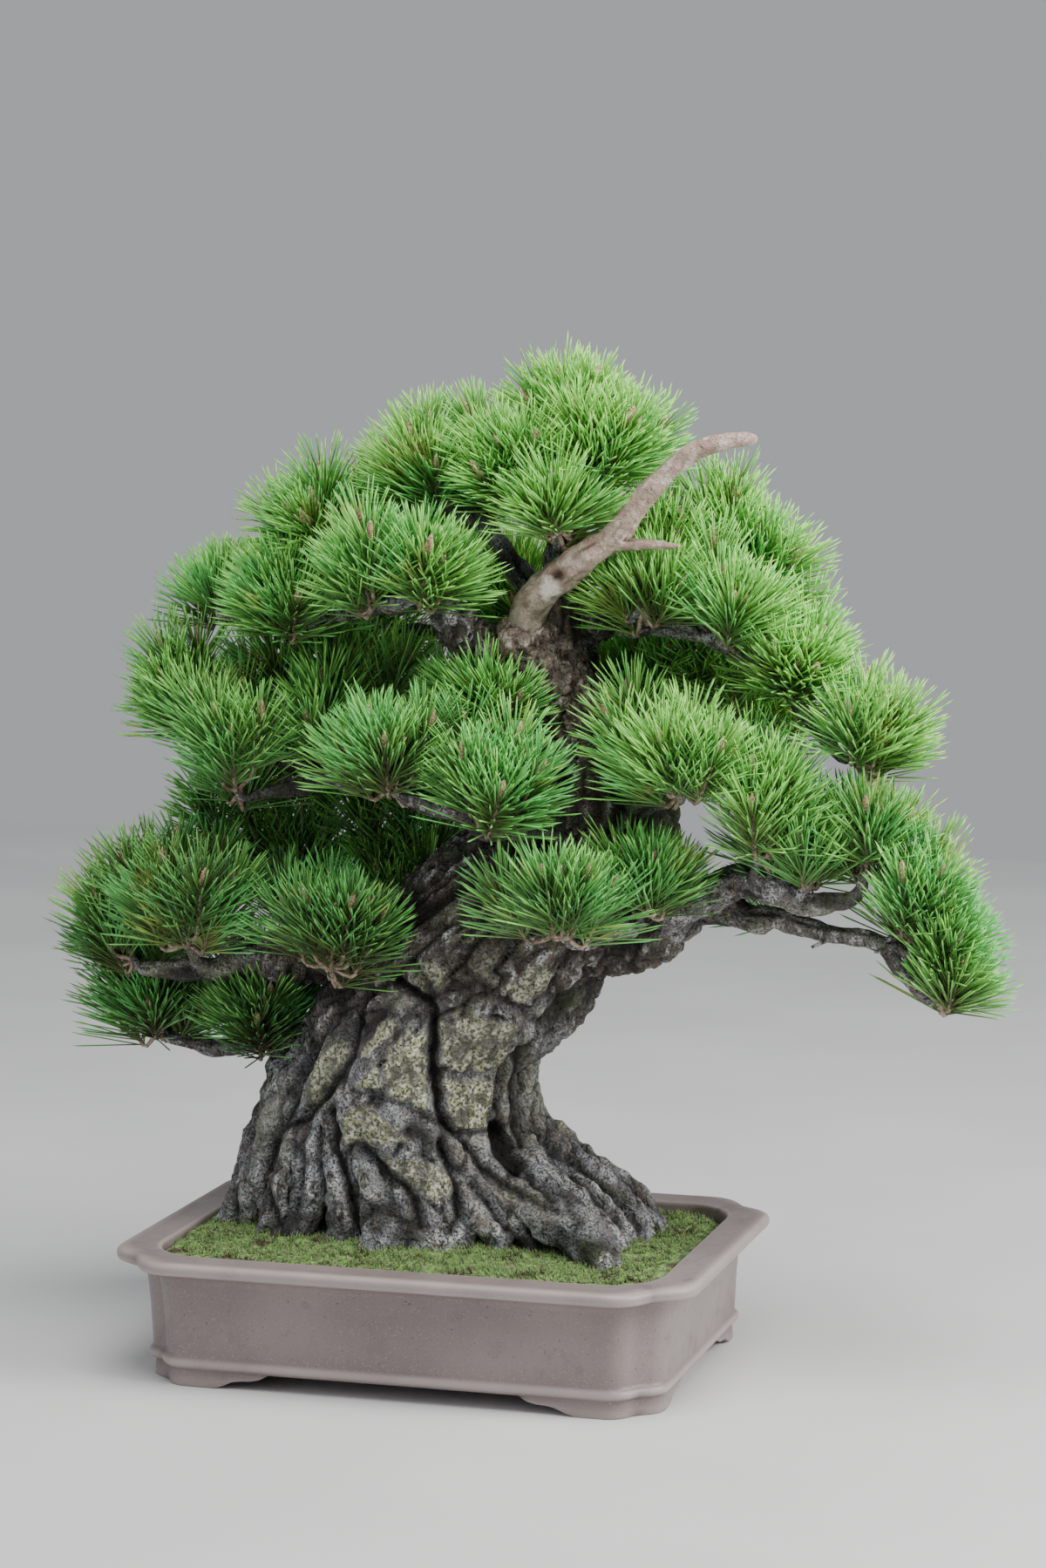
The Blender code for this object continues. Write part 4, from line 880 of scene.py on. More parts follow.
def gather(tubes):
    """Several tubes as one: all that sweep returns, each kind joined into one array. Each
    tube's grain starts a metre further on, so that no two are alike."""
    made, first = [], 0
    for number, (route, sides) in enumerate(tubes):
        made.append(sweep(route, sides, first))
        made[-1][-1][:, 2] += number
        first += len(made[-1][0])
    return [np.concatenate(parts) for parts in zip(*made)]


def plate_edge(points, seed):
    """How far a point stands from the edge between two bark plates, in cell sizes: one
    jittered centre in each unit cube, and the second nearest distance less the nearest."""
    cell = np.floor(points)
    nearest = np.full(len(points), 9.0)
    second = np.full(len(points), 9.0)
    for step in itertools.product((-1, 0, 1), repeat=3):
        corner = cell + np.array(step)
        centre = corner + 0.15 + 0.7 * np.column_stack(
            [cell_number(corner, seed + part) for part in (0, 1, 2)])
        far = np.linalg.norm(points - centre, axis=1)
        second = np.minimum(second, np.maximum(nearest, far))
        nearest = np.minimum(nearest, far)
    return second - nearest


def rise(values, low, high):
    """From 0 at low to 1 at high by 3tt - 2ttt."""
    share = np.clip((values - low) / (high - low), 0, 1)
    return share * share * (3 - 2 * share)


def bark_relief(grain, size, depth, seed):
    """Height of the bark and how deep in a furrow a point lies. Long furrows run along the
    grain where a noise of this size, drawn out four times, passes through zero; shorter ones
    half as wide cross it, and flakes stand where a third noise is high."""
    warp = np.column_stack([value_noise(grain, size * 0.8, seed + part) for part in (3, 4, 5)])
    bent = grain + 0.22 * size * warp
    strand = rise(np.abs(value_noise(bent * (1, 1, 0.22), size, seed)), 0.0, 0.36)
    scale = rise(np.abs(value_noise(bent * (1, 1, 0.45), size * 0.46, seed + 9)), 0.0, 0.34)
    flake = rise(value_noise(bent * (1, 1, 0.7), size * 0.5, seed + 17), -0.1, 0.15)
    height = depth * (0.9 * strand + 0.34 * scale + 0.30 * flake)
    return height, 1 - strand * (0.62 + 0.38 * scale)


def minor_strand(draw):
    """A thin strand of root that wanders down the flare from a chance bearing: a slow sway
    about a straight fall, half sunk in the flare's ellipse."""
    turn = math.radians(draw.uniform(0, 360))
    drift, sway, pace = draw.uniform(-0.28, 0.05), draw.uniform(0.02, 0.06), draw.uniform(2, 5)
    thick = draw.uniform(0.005, 0.010)
    level = np.linspace(0, draw.uniform(3.2, TOP_LEVEL), 9)
    z, half_x, half_y, middle = (np.interp(level, LEVELS, values) for values in (
        FLARE_HEIGHTS, FLARE_HALF_WIDTHS, FLARE_HALF_DEPTHS, FLARE_MIDDLES))
    bearing = turn + math.radians(STRAND_TWIST) * level / TOP_LEVEL + drift * level / TOP_LEVEL
    bearing = bearing + sway * np.sin(pace * level + turn)
    inset = thick * 1.1 + 0.004 * level / TOP_LEVEL
    return np.column_stack((middle + (half_x - inset) * np.cos(bearing),
                            ROOT_CENTRE[1] + (half_y - inset) * np.sin(bearing), z,
                            thick * (0.7 + 0.12 * level)))


def root_rows(bearing, reach, radius):
    """A main root from its tip up the flare into the trunk, by the flare's ellipses."""
    rows = []
    for level, (z, half_x, half_y, middle, swell) in enumerate(zip(
            FLARE_HEIGHTS, FLARE_HALF_WIDTHS, FLARE_HALF_DEPTHS, FLARE_MIDDLES, STRAND_SWELL)):
        thick = radius * MM * swell
        turn = math.radians(bearing + STRAND_TWIST * level / TOP_LEVEL)
        stretch = 1 + (reach - 1) * max(0.0, 1 - level / REACH_LEVELS)
        rows.append((middle + (half_x * stretch - thick) * math.cos(turn),
                     ROOT_CENTRE[1] + (half_y * stretch - thick) * math.sin(turn), z, thick))
    return np.array(rows)


def root_tube(rows, seed):
    """The route of a root with a knotty width: some of it more or less along it."""
    route = smooth_route(rows, ROUTE_GAP)
    route[:, 3] *= 1 + KNOTTINESS * value_noise(route[:, :3] + seed, KNOT_SIZE, 5)
    return route


def along_grain(points):
    """Places on the trunk in its grain: across, the offset from the trunk's middle line over
    its half widths, times the grain's width, turned back by the strands' twist; up, the
    height."""
    offset = []
    for side in (0, 1):
        middle = np.interp(points[:, 2], AXIS[:, 0], AXIS[:, 1 + side])
        half = np.interp(points[:, 2], AXIS[:, 0], AXIS[:, 3 + side])
        offset.append((points[:, side] - middle) / half * GRAIN_WIDTH)
    level = np.interp(points[:, 2], FLARE_HEIGHTS, LEVELS)
    turn = -math.radians(STRAND_TWIST) * level / TOP_LEVEL
    return np.column_stack((np.cos(turn) * offset[0] - np.sin(turn) * offset[1],
                            np.sin(turn) * offset[0] + np.cos(turn) * offset[1], points[:, 2]))


def line_distance(flat, line):
    """The least distance of flat points from a line of several stretches."""
    best = np.full(len(flat), np.inf)
    for start, finish in zip(line[:-1], line[1:]):
        along = finish - start
        share = np.clip((flat - start) @ along / (along @ along), 0, 1)
        best = np.minimum(best, np.linalg.norm(flat - start - share[:, None] * along, axis=1))
    return best


def inside_outline(flat, outline):
    """Depth inside a closed outline, negative outside: the distance from its sides, with the
    sign by how often a ray to the right crosses them."""
    closed = np.vstack((outline, outline[:1]))
    crossed = np.zeros(len(flat), dtype=bool)
    for start, finish in zip(closed[:-1], closed[1:]):
        spans = (start[1] > flat[:, 1]) != (finish[1] > flat[:, 1])
        lift = (flat[:, 1] - start[1]) / (finish[1] - start[1] + 1e-9)
        crossed ^= spans & (flat[:, 0] < start[0] + lift * (finish[0] - start[0]))
    return line_distance(flat, closed) * np.where(crossed, 1, -1)


def merged_surface(points, quads, caps, voxel):
    """The outer surface of overlapping closed tubes, remeshed in cubes of a size. Returns
    its points, quads and outward directions."""
    rough = mesh_piece("rough", points, quads, caps, ())
    modifier = rough.modifiers.new("merge", "REMESH")
    modifier.mode = "VOXEL"
    modifier.voxel_size = voxel
    mesh = finished_mesh(rough)
    bpy.data.objects.remove(rough, do_unlink=True)
    place = np.empty(3 * len(mesh.vertices))
    mesh.vertices.foreach_get("co", place)
    corners = np.empty(len(mesh.loops), dtype=np.int32)
    mesh.loops.foreach_get("vertex_index", corners)
    way = np.empty(3 * len(mesh.vertices))
    mesh.vertex_normals.foreach_get("vector", way)
    return place.reshape(-1, 3), corners.reshape(-1, 4), way.reshape(-1, 3)


def bark_material():
    """Pine bark: grey-brown plates with violet and warm shades, near black in the cracks, dull
    green film low down, and crusts of pale lichen speckle on the plates. The brown of the upper
    stem and the lower limbs is partly painted shade under the canopy, the near black of the cracks
    is partly painted shade in them, and the pale flakes on the ridge tops are painted highlights."""
    material, tree, shader = new_material("plated_bark")
    brown = layered(tree, linear(66, 58, 51),
                    (mottle(tree, 60, 0.35, 0.66), linear(124, 112, 100)))
    crust = layered(tree, linear(196, 198, 152),
                    (mottle(tree, 260, 0.4, 0.6), linear(252, 254, 232)))
    bare = layered(tree, linear(148, 130, 118),
                   (mottle(tree, 110, 0.48, 0.62, 4.0), linear(212, 196, 182)))
    # Painted highlights: pale flakes where the ridge tops catch the light.
    flakes = product(tree, marked(tree, "ridge_highlight"), mottle(tree, 150, 0.44, 0.60, 6.0, 0.6))
    clumps = product(tree, marked(tree, "lichen"), mottle(tree, 80, 0.36, 0.54, 5.0))
    cover = product(tree, clumps, mottle(tree, 380, 0.40, 0.50, 5.0))
    colour = layered(
        tree, linear(124, 123, 126),
        (mottle(tree, 34, 0.35, 0.66), linear(194, 196, 203)),
        # Brown of the upper stem and the lower limbs: partly the bark's own, partly painted shade
        # under the canopy.
        (marked(tree, "brown_bark_and_painted_shade"), brown),
        (mottle(tree, 80, 0.54, 0.74), linear(146, 124, 110)),
        (flakes, linear(222, 222, 220)),
        (mottle(tree, 140, 0.53, 0.66, 6.0, 0.5), linear(66, 62, 60)),
        (mottle(tree, 520, 0.50, 0.60, 2.0), linear(104, 100, 96)),
        (mottle(tree, 20, 0.54, 0.74), linear(100, 106, 80)),
        (marked(tree, "lichen"), linear(112, 110, 96)),
        (cover, crust),
        (marked(tree, "bare"), bare),
        # Near black in the cracks: the bark's own darker furrows and painted shade in them.
        (marked(tree, "crack_and_shade"), linear(28, 25, 23)))
    fill_sockets(tree, shader, {"Base Color": colour, "Roughness": 0.9})
    coarse = bump(tree, shader, mottle(tree, 110, 0.25, 0.75, 6.0, 0.5), 0.0055)
    fine = bump(tree, shader, mottle(tree, 300, 0.3, 0.7, 4.0), 0.0022, 1.0, coarse)
    bump(tree, shader, cover, 0.0016, 1.0, fine)
    return material


# The trunk's middle line: height, x and depth, and its half width and half depth there.
AXIS = np.vstack((
    np.column_stack((FLARE_HEIGHTS, FLARE_MIDDLES, np.full(len(LEVELS), ROOT_CENTRE[1]),
                     FLARE_HALF_WIDTHS, FLARE_HALF_DEPTHS)),
    seen_rows(TRUNK[6:])[:, (2, 0, 1, 3, 3)]))
draw = np.random.default_rng(23)
limb_rows = {name: seen_rows(rows) for name, rows in LIMBS.items()}
wood = [(smooth_route(seen_rows(TRUNK), ROUTE_GAP), TRUNK_SIDES)]
wood += [(root_tube(root_rows(*root), seed), ROOT_SIDES) for seed, root in enumerate(ROOTS)]
wood += [(root_tube(minor_strand(draw), seed), STRAND_SIDES)
         for seed in range(40, 40 + MINOR_STRANDS)]
wood += [(smooth_route(limb_rows[name][:rows], ROUTE_GAP), SWELL_SIDES)
         for name, rows in LIMB_SWELLS.items()]
wood.append((smooth_route(seen_rows(KNOT), KNOT_GAP), KNOT_SIDES))
points, quads, caps = gather(wood)[:3]
points, quads, outward = merged_surface(points, quads, caps, TRUNK_VOXEL)

# The stem swells unevenly, the furrows and plates of the front are laid on it as seen from
# the eye, and the bark's own relief comes last.
points = points + outward * (STEM_SWELL * value_noise(points, STEM_SWELL_SIZE, 31))[:, None]
toward_eye = np.sum(outward * unit(EYE - points), axis=1)
ray = EYE + (points - EYE) * (EYE[1] / (EYE[1] - points[:, 1]))[:, None]
flat = ray[:, (0, 2)] / MM + LINE_STRAY * np.column_stack(
    [value_noise(points, LINE_STRAY_SIZE, seed) for seed in (33, 34)])
facing = rise(toward_eye, 0.05, 0.35) * (points[:, 1] < ROOT_CENTRE[1])
furrow = np.zeros(len(points))
for depth, width, line in FURROWS:
    far = line_distance(flat, np.array(line, float))
    furrow = np.maximum(furrow, depth * np.exp(-(far / width) ** 2))
plate = np.zeros(len(points))
for outline in PLATES:
    plate = np.maximum(plate, rise(inside_outline(flat, np.array(outline, float)), -1.0, 3.0))
grain = along_grain(points)
height, crack_and_shade = bark_relief(grain, TRUNK_FURROWS, TRUNK_RELIEF, 41)
# Ridge tops of the relief, where pale flakes are painted as highlights.
ridge_highlight = rise(height / TRUNK_RELIEF, 1.12, 1.42)
upper = rise(points[:, 2], 0.20, 0.30)
cells = grain * (1, 1, 0.6) / UPPER_PLATES + 0.3 * value_noise(points, 0.02, 47)[:, None]
between = 1 - rise(plate_edge(cells, 45), 0.0, 0.22)
between = between * upper * rise(value_noise(points, 0.05, 49), -0.4, 0.2)
rough = PLATE_ROUGH * (value_noise(points, 0.0065, 50)
                       + rise(value_noise(points * (1, 1, 0.6), 0.010, 54), -0.06, 0.06))
on_plate = plate * facing
height = height * (1 - 0.55 * on_plate) - UPPER_CRACK * between * (1 - on_plate) + rough + (
    PLATE_RISE * plate - furrow * MM) * facing
# The cracks are darkened: partly the bark's own darker furrows, partly painted shade in them.
crack_and_shade = np.clip(np.maximum(np.maximum(crack_and_shade * 0.85, between * 0.8) * (1 - 0.75 * on_plate),
                           facing * furrow / DARK_FURROW), 0, 1)
buried = rise(points[:, 2], 0.098, 0.118)
points = points + outward * (height * (0.35 + 0.65 * buried))[:, None]
crack_and_shade = crack_and_shade ** 1.3
lichen_zone = rise(value_noise(points, 0.045, 51), -0.2, 0.6) * rise(points[:, 2], 0.10, 0.16)
ragged = rise(value_noise(points, 0.007, 53) + 2.2 * (on_plate - 0.5), -0.5, 0.9)
lichen = np.clip(0.42 * lichen_zone + 0.85 * ragged, 0, 1) * (1 - 0.85 * crack_and_shade)
lichen = lichen * (1 - 0.35 * rise(points[:, 2], 0.26, 0.32))
BARK = bark_material()
trunk = mesh_piece("trunk_and_roots", points + POT_MIDDLE, quads, (), (BARK,))
mark(trunk, "crack_and_shade", crack_and_shade)
mark(trunk, "lichen", lichen)
mark(trunk, "ridge_highlight", ridge_highlight)
# Browner and darker up the stem: partly its own younger bark, partly painted shade under the
# canopy.
mark(trunk, "brown_bark_and_painted_shade", rise(points[:, 2] + 0.02 * value_noise(points, 0.05, 57), 0.24, 0.32))
stripped = np.vstack((limb_rows["jin_base"][:, :3], seen_rows(KNOT[3:])[:, :3],
                      [seen(*place) for place in WORN_PLACES]))
bare_far = np.min(np.linalg.norm(points[:, None] - stripped[None], axis=2), axis=1)
mark(trunk, "bare", 1 - rise(bare_far + 0.007 * value_noise(points, 0.012, 55), *BARE_REACH))
belongs(trunk, "bark", "trunk")


# Limbs: the live branches and their branchlets, of the same bark on a smaller scale. They
# leave the trunk's swellings and end in the stubs that bear the sprays.
LIMB_GAP = 0.003
# Sides of a slim limb and of one thicker than this radius, of a branchlet and of a spur.
LIMB_SIDES = (14, 28)
THICK_LIMB = 0.013
BRANCHLET_SIDES, SPUR_SIDES = 8, 6
LIMB_FURROWS = 0.011
LIMB_RELIEF = 0.0034
# The bark's relief is full from this radius, and thinner limbs have less.
FULL_RELIEF_RADIUS = 0.020
CROOK_SIZE, CROOK_STRAY = 0.024, 0.55
SWELL_SIZE, SWELL_SHARE = 0.013, 0.25
SPURS_PER_LIMB = 4
# How far a spur stands out of its limb, its radius at its foot, and how much it thins.
SPUR_LENGTHS = (0.006, 0.016)
SPUR_RADIUS = 0.0022
SPUR_THINNING = 0.0012
SPUR_SHARES = (0.0, 0.5, 0.8, 1.0)
SPUR_SWAY = 0.0012
# A branchlet ends in a stub of this radius, this far past the place given for it.
BRANCHLET_POINTS = 9
STUB_RADIUS = 0.0030
STUB_LENGTH = 0.002
# At its foot it has this share of its limb's radius, up to a limit in metres.
BRANCHLET_SHARE, BRANCHLET_LIMIT = 0.7, 0.006
# Sprays of needles: the limb that bears each, where its branchlet ends, and where its
# shoots end, all as x, z and depth.
SPRAYS = {
    "apex_crown": ("leader", (102, 716, 2), (
        (97, 757, 0), (133, 750, -6), (62, 750, 6), (112, 748, 44))),
    "apex_front": ("leader", (110, 698, -22), (
        (102, 744, -46), (145, 738, -42), (170, 732, -2), (144, 712, -30))),
    "apex_back": ("leader", (106, 702, 28), ((78, 742, 68), (130, 733, 76), (166, 718, 48))),
    "apex_left": ("leader", (62, 688, -12), (
        (69, 719, -56), (38, 718, -46), (15, 740, 0), (24, 694, -64))),
    "crown_left": ("crown_left", (-8, 676, -6), (
        (-31, 724, -10), (-9, 700, -50), (-52, 704, 26))),
    "crown_centre": ("leader", (88, 652, -46), ((84, 690, -74), (64, 676, -66), (112, 680, -34))),
    "crown_back": ("crown_left", (24, 664, 46), ((2, 700, 84), (48, 712, 84), (-42, 690, 76))),
    "left_shoulder": ("crown_left", (-90, 650, 14), (
        (-102, 692, 14), (-146, 665, 10), (-116, 655, -34))),
    "left_outer_top": ("left_shoulder", (-128, 578, -10), (
        (-134, 619, -26), (-160, 594, -28), (-122, 596, -56), (-158, 622, 14))),
    "left_upper_front": ("left_upper", (-58, 592, -62), (
        (-70, 656, -72), (-62, 645, -100), (-92, 622, -84))),
    "left_upper_centre": ("left_upper", (-26, 600, -60), (
        (-23, 646, -72), (-16, 636, -104), (10, 626, -82))),
    "left_outer_back": ("left_shoulder", (-188, 584, 44), ((-180, 616, 58), (-184, 598, 46),
                                                         (-172, 606, 84))),
    "left_outer": ("left_outer", (-198, 494, 34), ((-232, 540, 38), (-236, 512, 14),
                                                  (-214, 528, 72))),
    "left_middle_front": ("left_middle", (-172, 440, -22), (
        (-210, 520, -26), (-192, 508, -54), (-152, 505, -52), (-168, 522, 4))),
    "left_middle_inner": ("left_middle", (-98, 476, -6), (
        (-102, 534, 0), (-116, 502, -36), (-90, 552, 42))),
    "centre_left_outer": ("centre_left", (-46, 450, -82), (
        (-64, 506, -86), (-52, 486, -118), (-15, 500, -92), (-88, 478, -92))),
    "centre_left_inner": ("centre_left", (24, 430, -84), (
        (12, 508, -78), (12, 476, -120), (56, 492, -92), (76, 468, -104), (44, 450, -130))),
    "centre_upper": ("left_upper", (34, 508, -34), ((28, 542, -44), (0, 530, -22), (58, 522, -56))),
    "left_low_front": ("left_low", (-214, 318, -44), (
        (-236, 384, -46), (-203, 374, -80), (-176, 372, -42), (-262, 358, -44))),
    "left_low_inner": ("left_front", (-98, 304, -60), (
        (-78, 358, -92), (-118, 360, -84), (-96, 376, -50), (-54, 344, -72))),
    "left_low_tip": ("left_low", (-262, 303, 16), (
        (-276, 374, 8), (-290, 342, 14), (-276, 328, 48))),
    "left_low_under": ("left_under", (-240, 249, 54), (
        (-236, 290, 40), (-266, 286, 66), (-222, 276, 88), (-274, 302, 38))),
    "left_low_back": ("back_left_low", (-118, 368, 108), (
        (-121, 418, 112), (-160, 400, 104), (-86, 402, 134))),
    "left_back_centre": ("back_left_low", (-50, 368, 112), (
        (-52, 410, 122), (-60, 384, 82), (-20, 400, 142))),
    "left_under_inner": ("left_under", (-154, 246, 32), ((-146, 288, 2), (-180, 284, 20),
                                                        (-158, 262, -12))),
    "front_low": ("front_low", (92, 338, -108), (
        (76, 386, -120), (110, 388, -114), (36, 378, -98), (134, 378, -88))),
    "front_low_right": ("front_low", (156, 360, -58), ((164, 404, -72), (138, 402, -50),
                                                      (190, 398, -50))),
    "centre_right_front": ("centre_right", (186, 454, -66), (
        (168, 496, -94), (192, 512, -62), (216, 488, -86), (148, 478, -60))),
    "centre_right_outer": ("right_low", (246, 408, -40), (
        (262, 478, -52), (238, 496, -40), (240, 448, -86), (276, 452, -28))),
    "right_upper_inner": ("right_upper", (154, 592, -26), (
        (152, 626, -28), (182, 650, 4), (186, 611, -40))),
    "right_upper_middle": ("right_upper", (216, 576, -24), (
        (209, 643, -10), (226, 602, -62), (246, 606, -22))),
    "right_upper_top": ("right_shoulder", (216, 604, 38), (
        (226, 676, 34), (253, 656, 32), (275, 634, 30))),
    "right_shoulder": ("right_upper", (270, 548, 14), (
        (292, 572, 2), (257, 562, -36), (290, 550, -34), (282, 584, 46))),
    "right_outer": ("right_upper", (318, 482, -12), (
        (328, 543, 10), (314, 520, -38), (351, 524, -16), (356, 500, 20))),
    "right_low_middle": ("right_low", (284, 386, -24), (
        (276, 424, -44), (302, 420, -12), (258, 416, 10))),
    "right_low_twig": ("right_low", (329, 400, -24), ((328, 450, -32), (352, 438, 0),
                                                     (308, 440, 14))),
    "right_end_top": ("right_end", (354, 350, -14), (
        (378, 418, -2), (386, 400, -36), (358, 396, -48))),
    "right_end": ("right_end", (376, 332, -14), ((388, 378, -30), (398, 360, 2),
                                                (399, 348, -36))),
    "right_tip": ("right_tip", (386, 301, -15), ((402, 328, -32), (401, 318, 6), (384, 338, 12))),
    "right_low_back": ("right_behind", (266, 396, 68), ((290, 448, 70), (254, 440, 90),
                                                       (312, 426, 58))),
    "back_low": ("back_low", (60, 396, 146), ((60, 446, 150), (20, 428, 166), (100, 438, 170))),
    "back_middle": ("back_middle", (140, 488, 126), (
        (150, 540, 130), (108, 530, 150), (136, 500, 178))),
    "back_right": ("back_right", (228, 496, 99), ((250, 548, 96), (218, 524, 132),
                                                 (284, 520, 82))),
    "back_left_middle": ("back_left", (-60, 478, 106), (
        (-60, 530, 110), (-104, 512, 118), (-20, 520, 138), (-124, 484, 92))),
    "back_upper": ("back_upper", (58, 588, 108), (
        (50, 640, 114), (98, 632, 124), (10, 618, 132))),
    "back_left_upper": ("back_left_upper", (-81, 581, 95), (
        (-78, 626, 99), (-122, 608, 100), (-42, 604, 118))),
    "inner_right": ("back_middle", (136, 500, 76), ((130, 548, 64), (176, 548, 66),
                                                   (106, 540, 86))),
}


def spray_heading(root, tips):
    """The direction in which a branchlet ends: towards the middle of its shoots' ends."""
    return unit(np.mean([seen(*tip) for tip in tips], axis=0) - seen(*root))


def cubic(handles, count):
    """Points on a curve of four handles, even in its parameter t. The handles weigh
    (1 - t)^3, 3t(1 - t)^2, 3tt(1 - t) and t^3."""
    share = np.linspace(0, 1, count)[:, None]
    weights = ((1 - share) ** 3, 3 * share * (1 - share) ** 2, 3 * share ** 2 * (1 - share),
               share ** 3)
    return sum(weight * handle for weight, handle in zip(weights, handles))


def branchlet_rows(limb, root, heading):
    """A branchlet from the nearest stretch of its limb, in one bend to where its spray
    stands: a cubic with its handles along the limb and along the spray's heading."""
    end = seen(*root)
    nearest = int(np.argmin(np.linalg.norm(limb[:, :3] - end, axis=1)))
    leave = max(0, nearest - 1)
    start = limb[leave]
    along = unit(limb[leave + 1, :3] - start[:3])
    span = np.linalg.norm(end - start[:3])
    handles = (start[:3], start[:3] + along * span * 0.3, end - heading * span * 0.45,
               end + heading * STUB_LENGTH)
    share = np.linspace(0, 1, BRANCHLET_POINTS)[:, None]
    foot = min(start[3] * BRANCHLET_SHARE, BRANCHLET_LIMIT)
    thick = STUB_RADIUS + (foot - STUB_RADIUS) * (1 - share)
    return np.hstack((cubic(handles, BRANCHLET_POINTS), thick))


def crooked(route, seed):
    """A limb's route with the small crooks and knots of years of pruning: it strays by up to
    about half its radius, less near its ends, and is up to a quarter thicker or thinner."""
    stray = np.column_stack([value_noise(route[:, :3], CROOK_SIZE, seed + part)
                             for part in (0, 1, 2)])
    ends = np.minimum(np.arange(len(route)), np.arange(len(route))[::-1])
    hold = np.clip(ends / 4, 0, 1)[:, None]
    bent = route.copy()
    bent[:, :3] += stray * np.minimum(route[:, 3:], 0.012) * CROOK_STRAY * hold
    swell = value_noise(route[:, :3], SWELL_SIZE, seed + 7)[:, None]
    bent[:, 3:] *= 1 + SWELL_SHARE * swell
    return bent


def dead_spur(route, draw):
    """A short dead twig left on a limb: from inside the limb outward and a little up, and
    thinning to a snapped end."""
    place = route[draw.integers(6, len(route) - 4)]
    way = unit(draw.normal(size=3) * (1, 1, 0.5) + UP * 0.2)
    length = place[3] + draw.uniform(*SPUR_LENGTHS)
    share = np.array(SPUR_SHARES)[:, None]
    sway = draw.normal(0, SPUR_SWAY, (len(share), 3)) * share
    radii = SPUR_RADIUS - SPUR_THINNING * share
    return np.hstack((place[:3] + way * length * share + sway, radii))


headings = {name: spray_heading(root, tips) for name, (_, root, tips) in SPRAYS.items()}
tubes = []
for number, rows in enumerate(limb_rows.values()):
    sides = LIMB_SIDES[1] if rows[0, 3] > THICK_LIMB else LIMB_SIDES[0]
    tubes.append((crooked(smooth_route(rows, LIMB_GAP), 60 + number), sides))
for number, (name, (limb, root, _)) in enumerate(SPRAYS.items()):
    rows = branchlet_rows(limb_rows[limb], root, headings[name])
    tubes.append((crooked(rows, 90 + number), BRANCHLET_SIDES))
draw = np.random.default_rng(61)
tubes += [(dead_spur(tubes[number][0], draw), SPUR_SIDES) for number in np.repeat(
    np.arange(len(limb_rows)), SPURS_PER_LIMB) if len(tubes[number][0]) > 12]
points, quads, caps, outward, radii, grain = gather(tubes)
strength = np.clip(radii / FULL_RELIEF_RADIUS, 0.12, 1)
height, crack_and_shade = bark_relief(grain, LIMB_FURROWS, LIMB_RELIEF, 71)
points = points + outward * ((height - LIMB_RELIEF * 0.9) * strength)[:, None]
limbs = mesh_piece("limbs_and_branchlets", points + POT_MIDDLE, quads, caps, (BARK,))
# The limbs' cracks are darkened: partly their own bark, partly painted shade.
mark(limbs, "crack_and_shade", np.clip(crack_and_shade * 1.1 - 0.2, 0, 1) * np.clip(radii / 0.010, 0.3, 1))
# The ridge tops of the limbs carry painted highlights too.
mark(limbs, "ridge_highlight", 0.7 * rise(height / LIMB_RELIEF, 0.9, 1.3))
# Limbs are browner and darker low down and paler high up: partly their own bark, partly painted
# shade under the canopy.
mark(limbs, "brown_bark_and_painted_shade", 0.65 - 0.45 * rise(points[:, 2], 0.46, 0.56))
mark(limbs, "lichen", 0.35 * rise(value_noise(points, 0.04, 52), 0.0, 0.6))
belongs(limbs, "bark", "trunk")


# Jin: a branch killed and stripped to the heartwood, bleached pinkish brown, grooved
# along its grain, with a pale torn scar near its foot and one short spur.
JIN = (
    (64, 574, -27.6, 14.5), (66, 588, -31, 14.5), (79, 605, -36, 13), (98, 620, -40, 12),
    (116, 632, -44, 10.5), (134, 645, -47, 9.5), (160, 679, -52, 8), (190, 706, -55, 7),
    (218, 716, -56, 6), (236, 718, -56, 4.5), (242, 718, -56, 2.5))
JIN_SPUR = ((125, 640, -46, 7), (142, 638, -48, 5), (165, 638, -50, 3.6), (184, 637, -50, 1.8))
JIN_GAP = 0.0028
JIN_SIDES = 30
# Turn of the grain in radians a metre, and relief as a share of the radius.
JIN_TWIST = 9.0
GROOVE_DEPTH, KNOT_DEPTH = 0.15, 0.13
# The scar and the notch beside it: the distances at which each starts to fade and ends.
SCAR_PLACE = (80, 602, -54)
SCAR_EDGE = (0.0070, 0.0082)
NOTCH_PLACE = (86, 613, -52)
NOTCH_EDGE = (0.003, 0.008)
NOTCH_DEPTH = 0.004
# Heights between which the dull wood of the foot gives way to the bleached wood.
DULL_END = (0.590, 0.625)


def jin_material():
    """Bare heartwood: pinkish brown with paler ridges and darker grooves along the grain, and the
    pale torn scar. The notch beside the scar is darkened with painted shade."""
    material, tree, shader = new_material("dead_heartwood")
    dull = layered(tree, linear(118, 103, 90),
                   (mottle(tree, 90, 0.4, 0.6), linear(160, 147, 133)))
    colour = layered(
        tree, linear(166, 140, 127),
        (mottle(tree, 60, 0.35, 0.7), linear(200, 175, 162)),
        (mottle(tree, 130, 0.5, 0.68, 4.0), linear(220, 202, 192)),
        (marked(tree, "low"), dull),
        (marked(tree, "groove"), linear(92, 74, 66)),
        (marked(tree, "scar"), linear(236, 222, 214)),
        # Painted shade in the notch.
        (marked(tree, "hollow"), linear(78, 52, 42)))
    fill_sockets(tree, shader, {"Base Color": colour, "Roughness": 0.8})
    soft = bump(tree, shader, mottle(tree, 160, 0.3, 0.7, 5.0), 0.0016)
    bump(tree, shader, mottle(tree, 700, 0.3, 0.7), 0.0004, 1.0, soft)
    return material


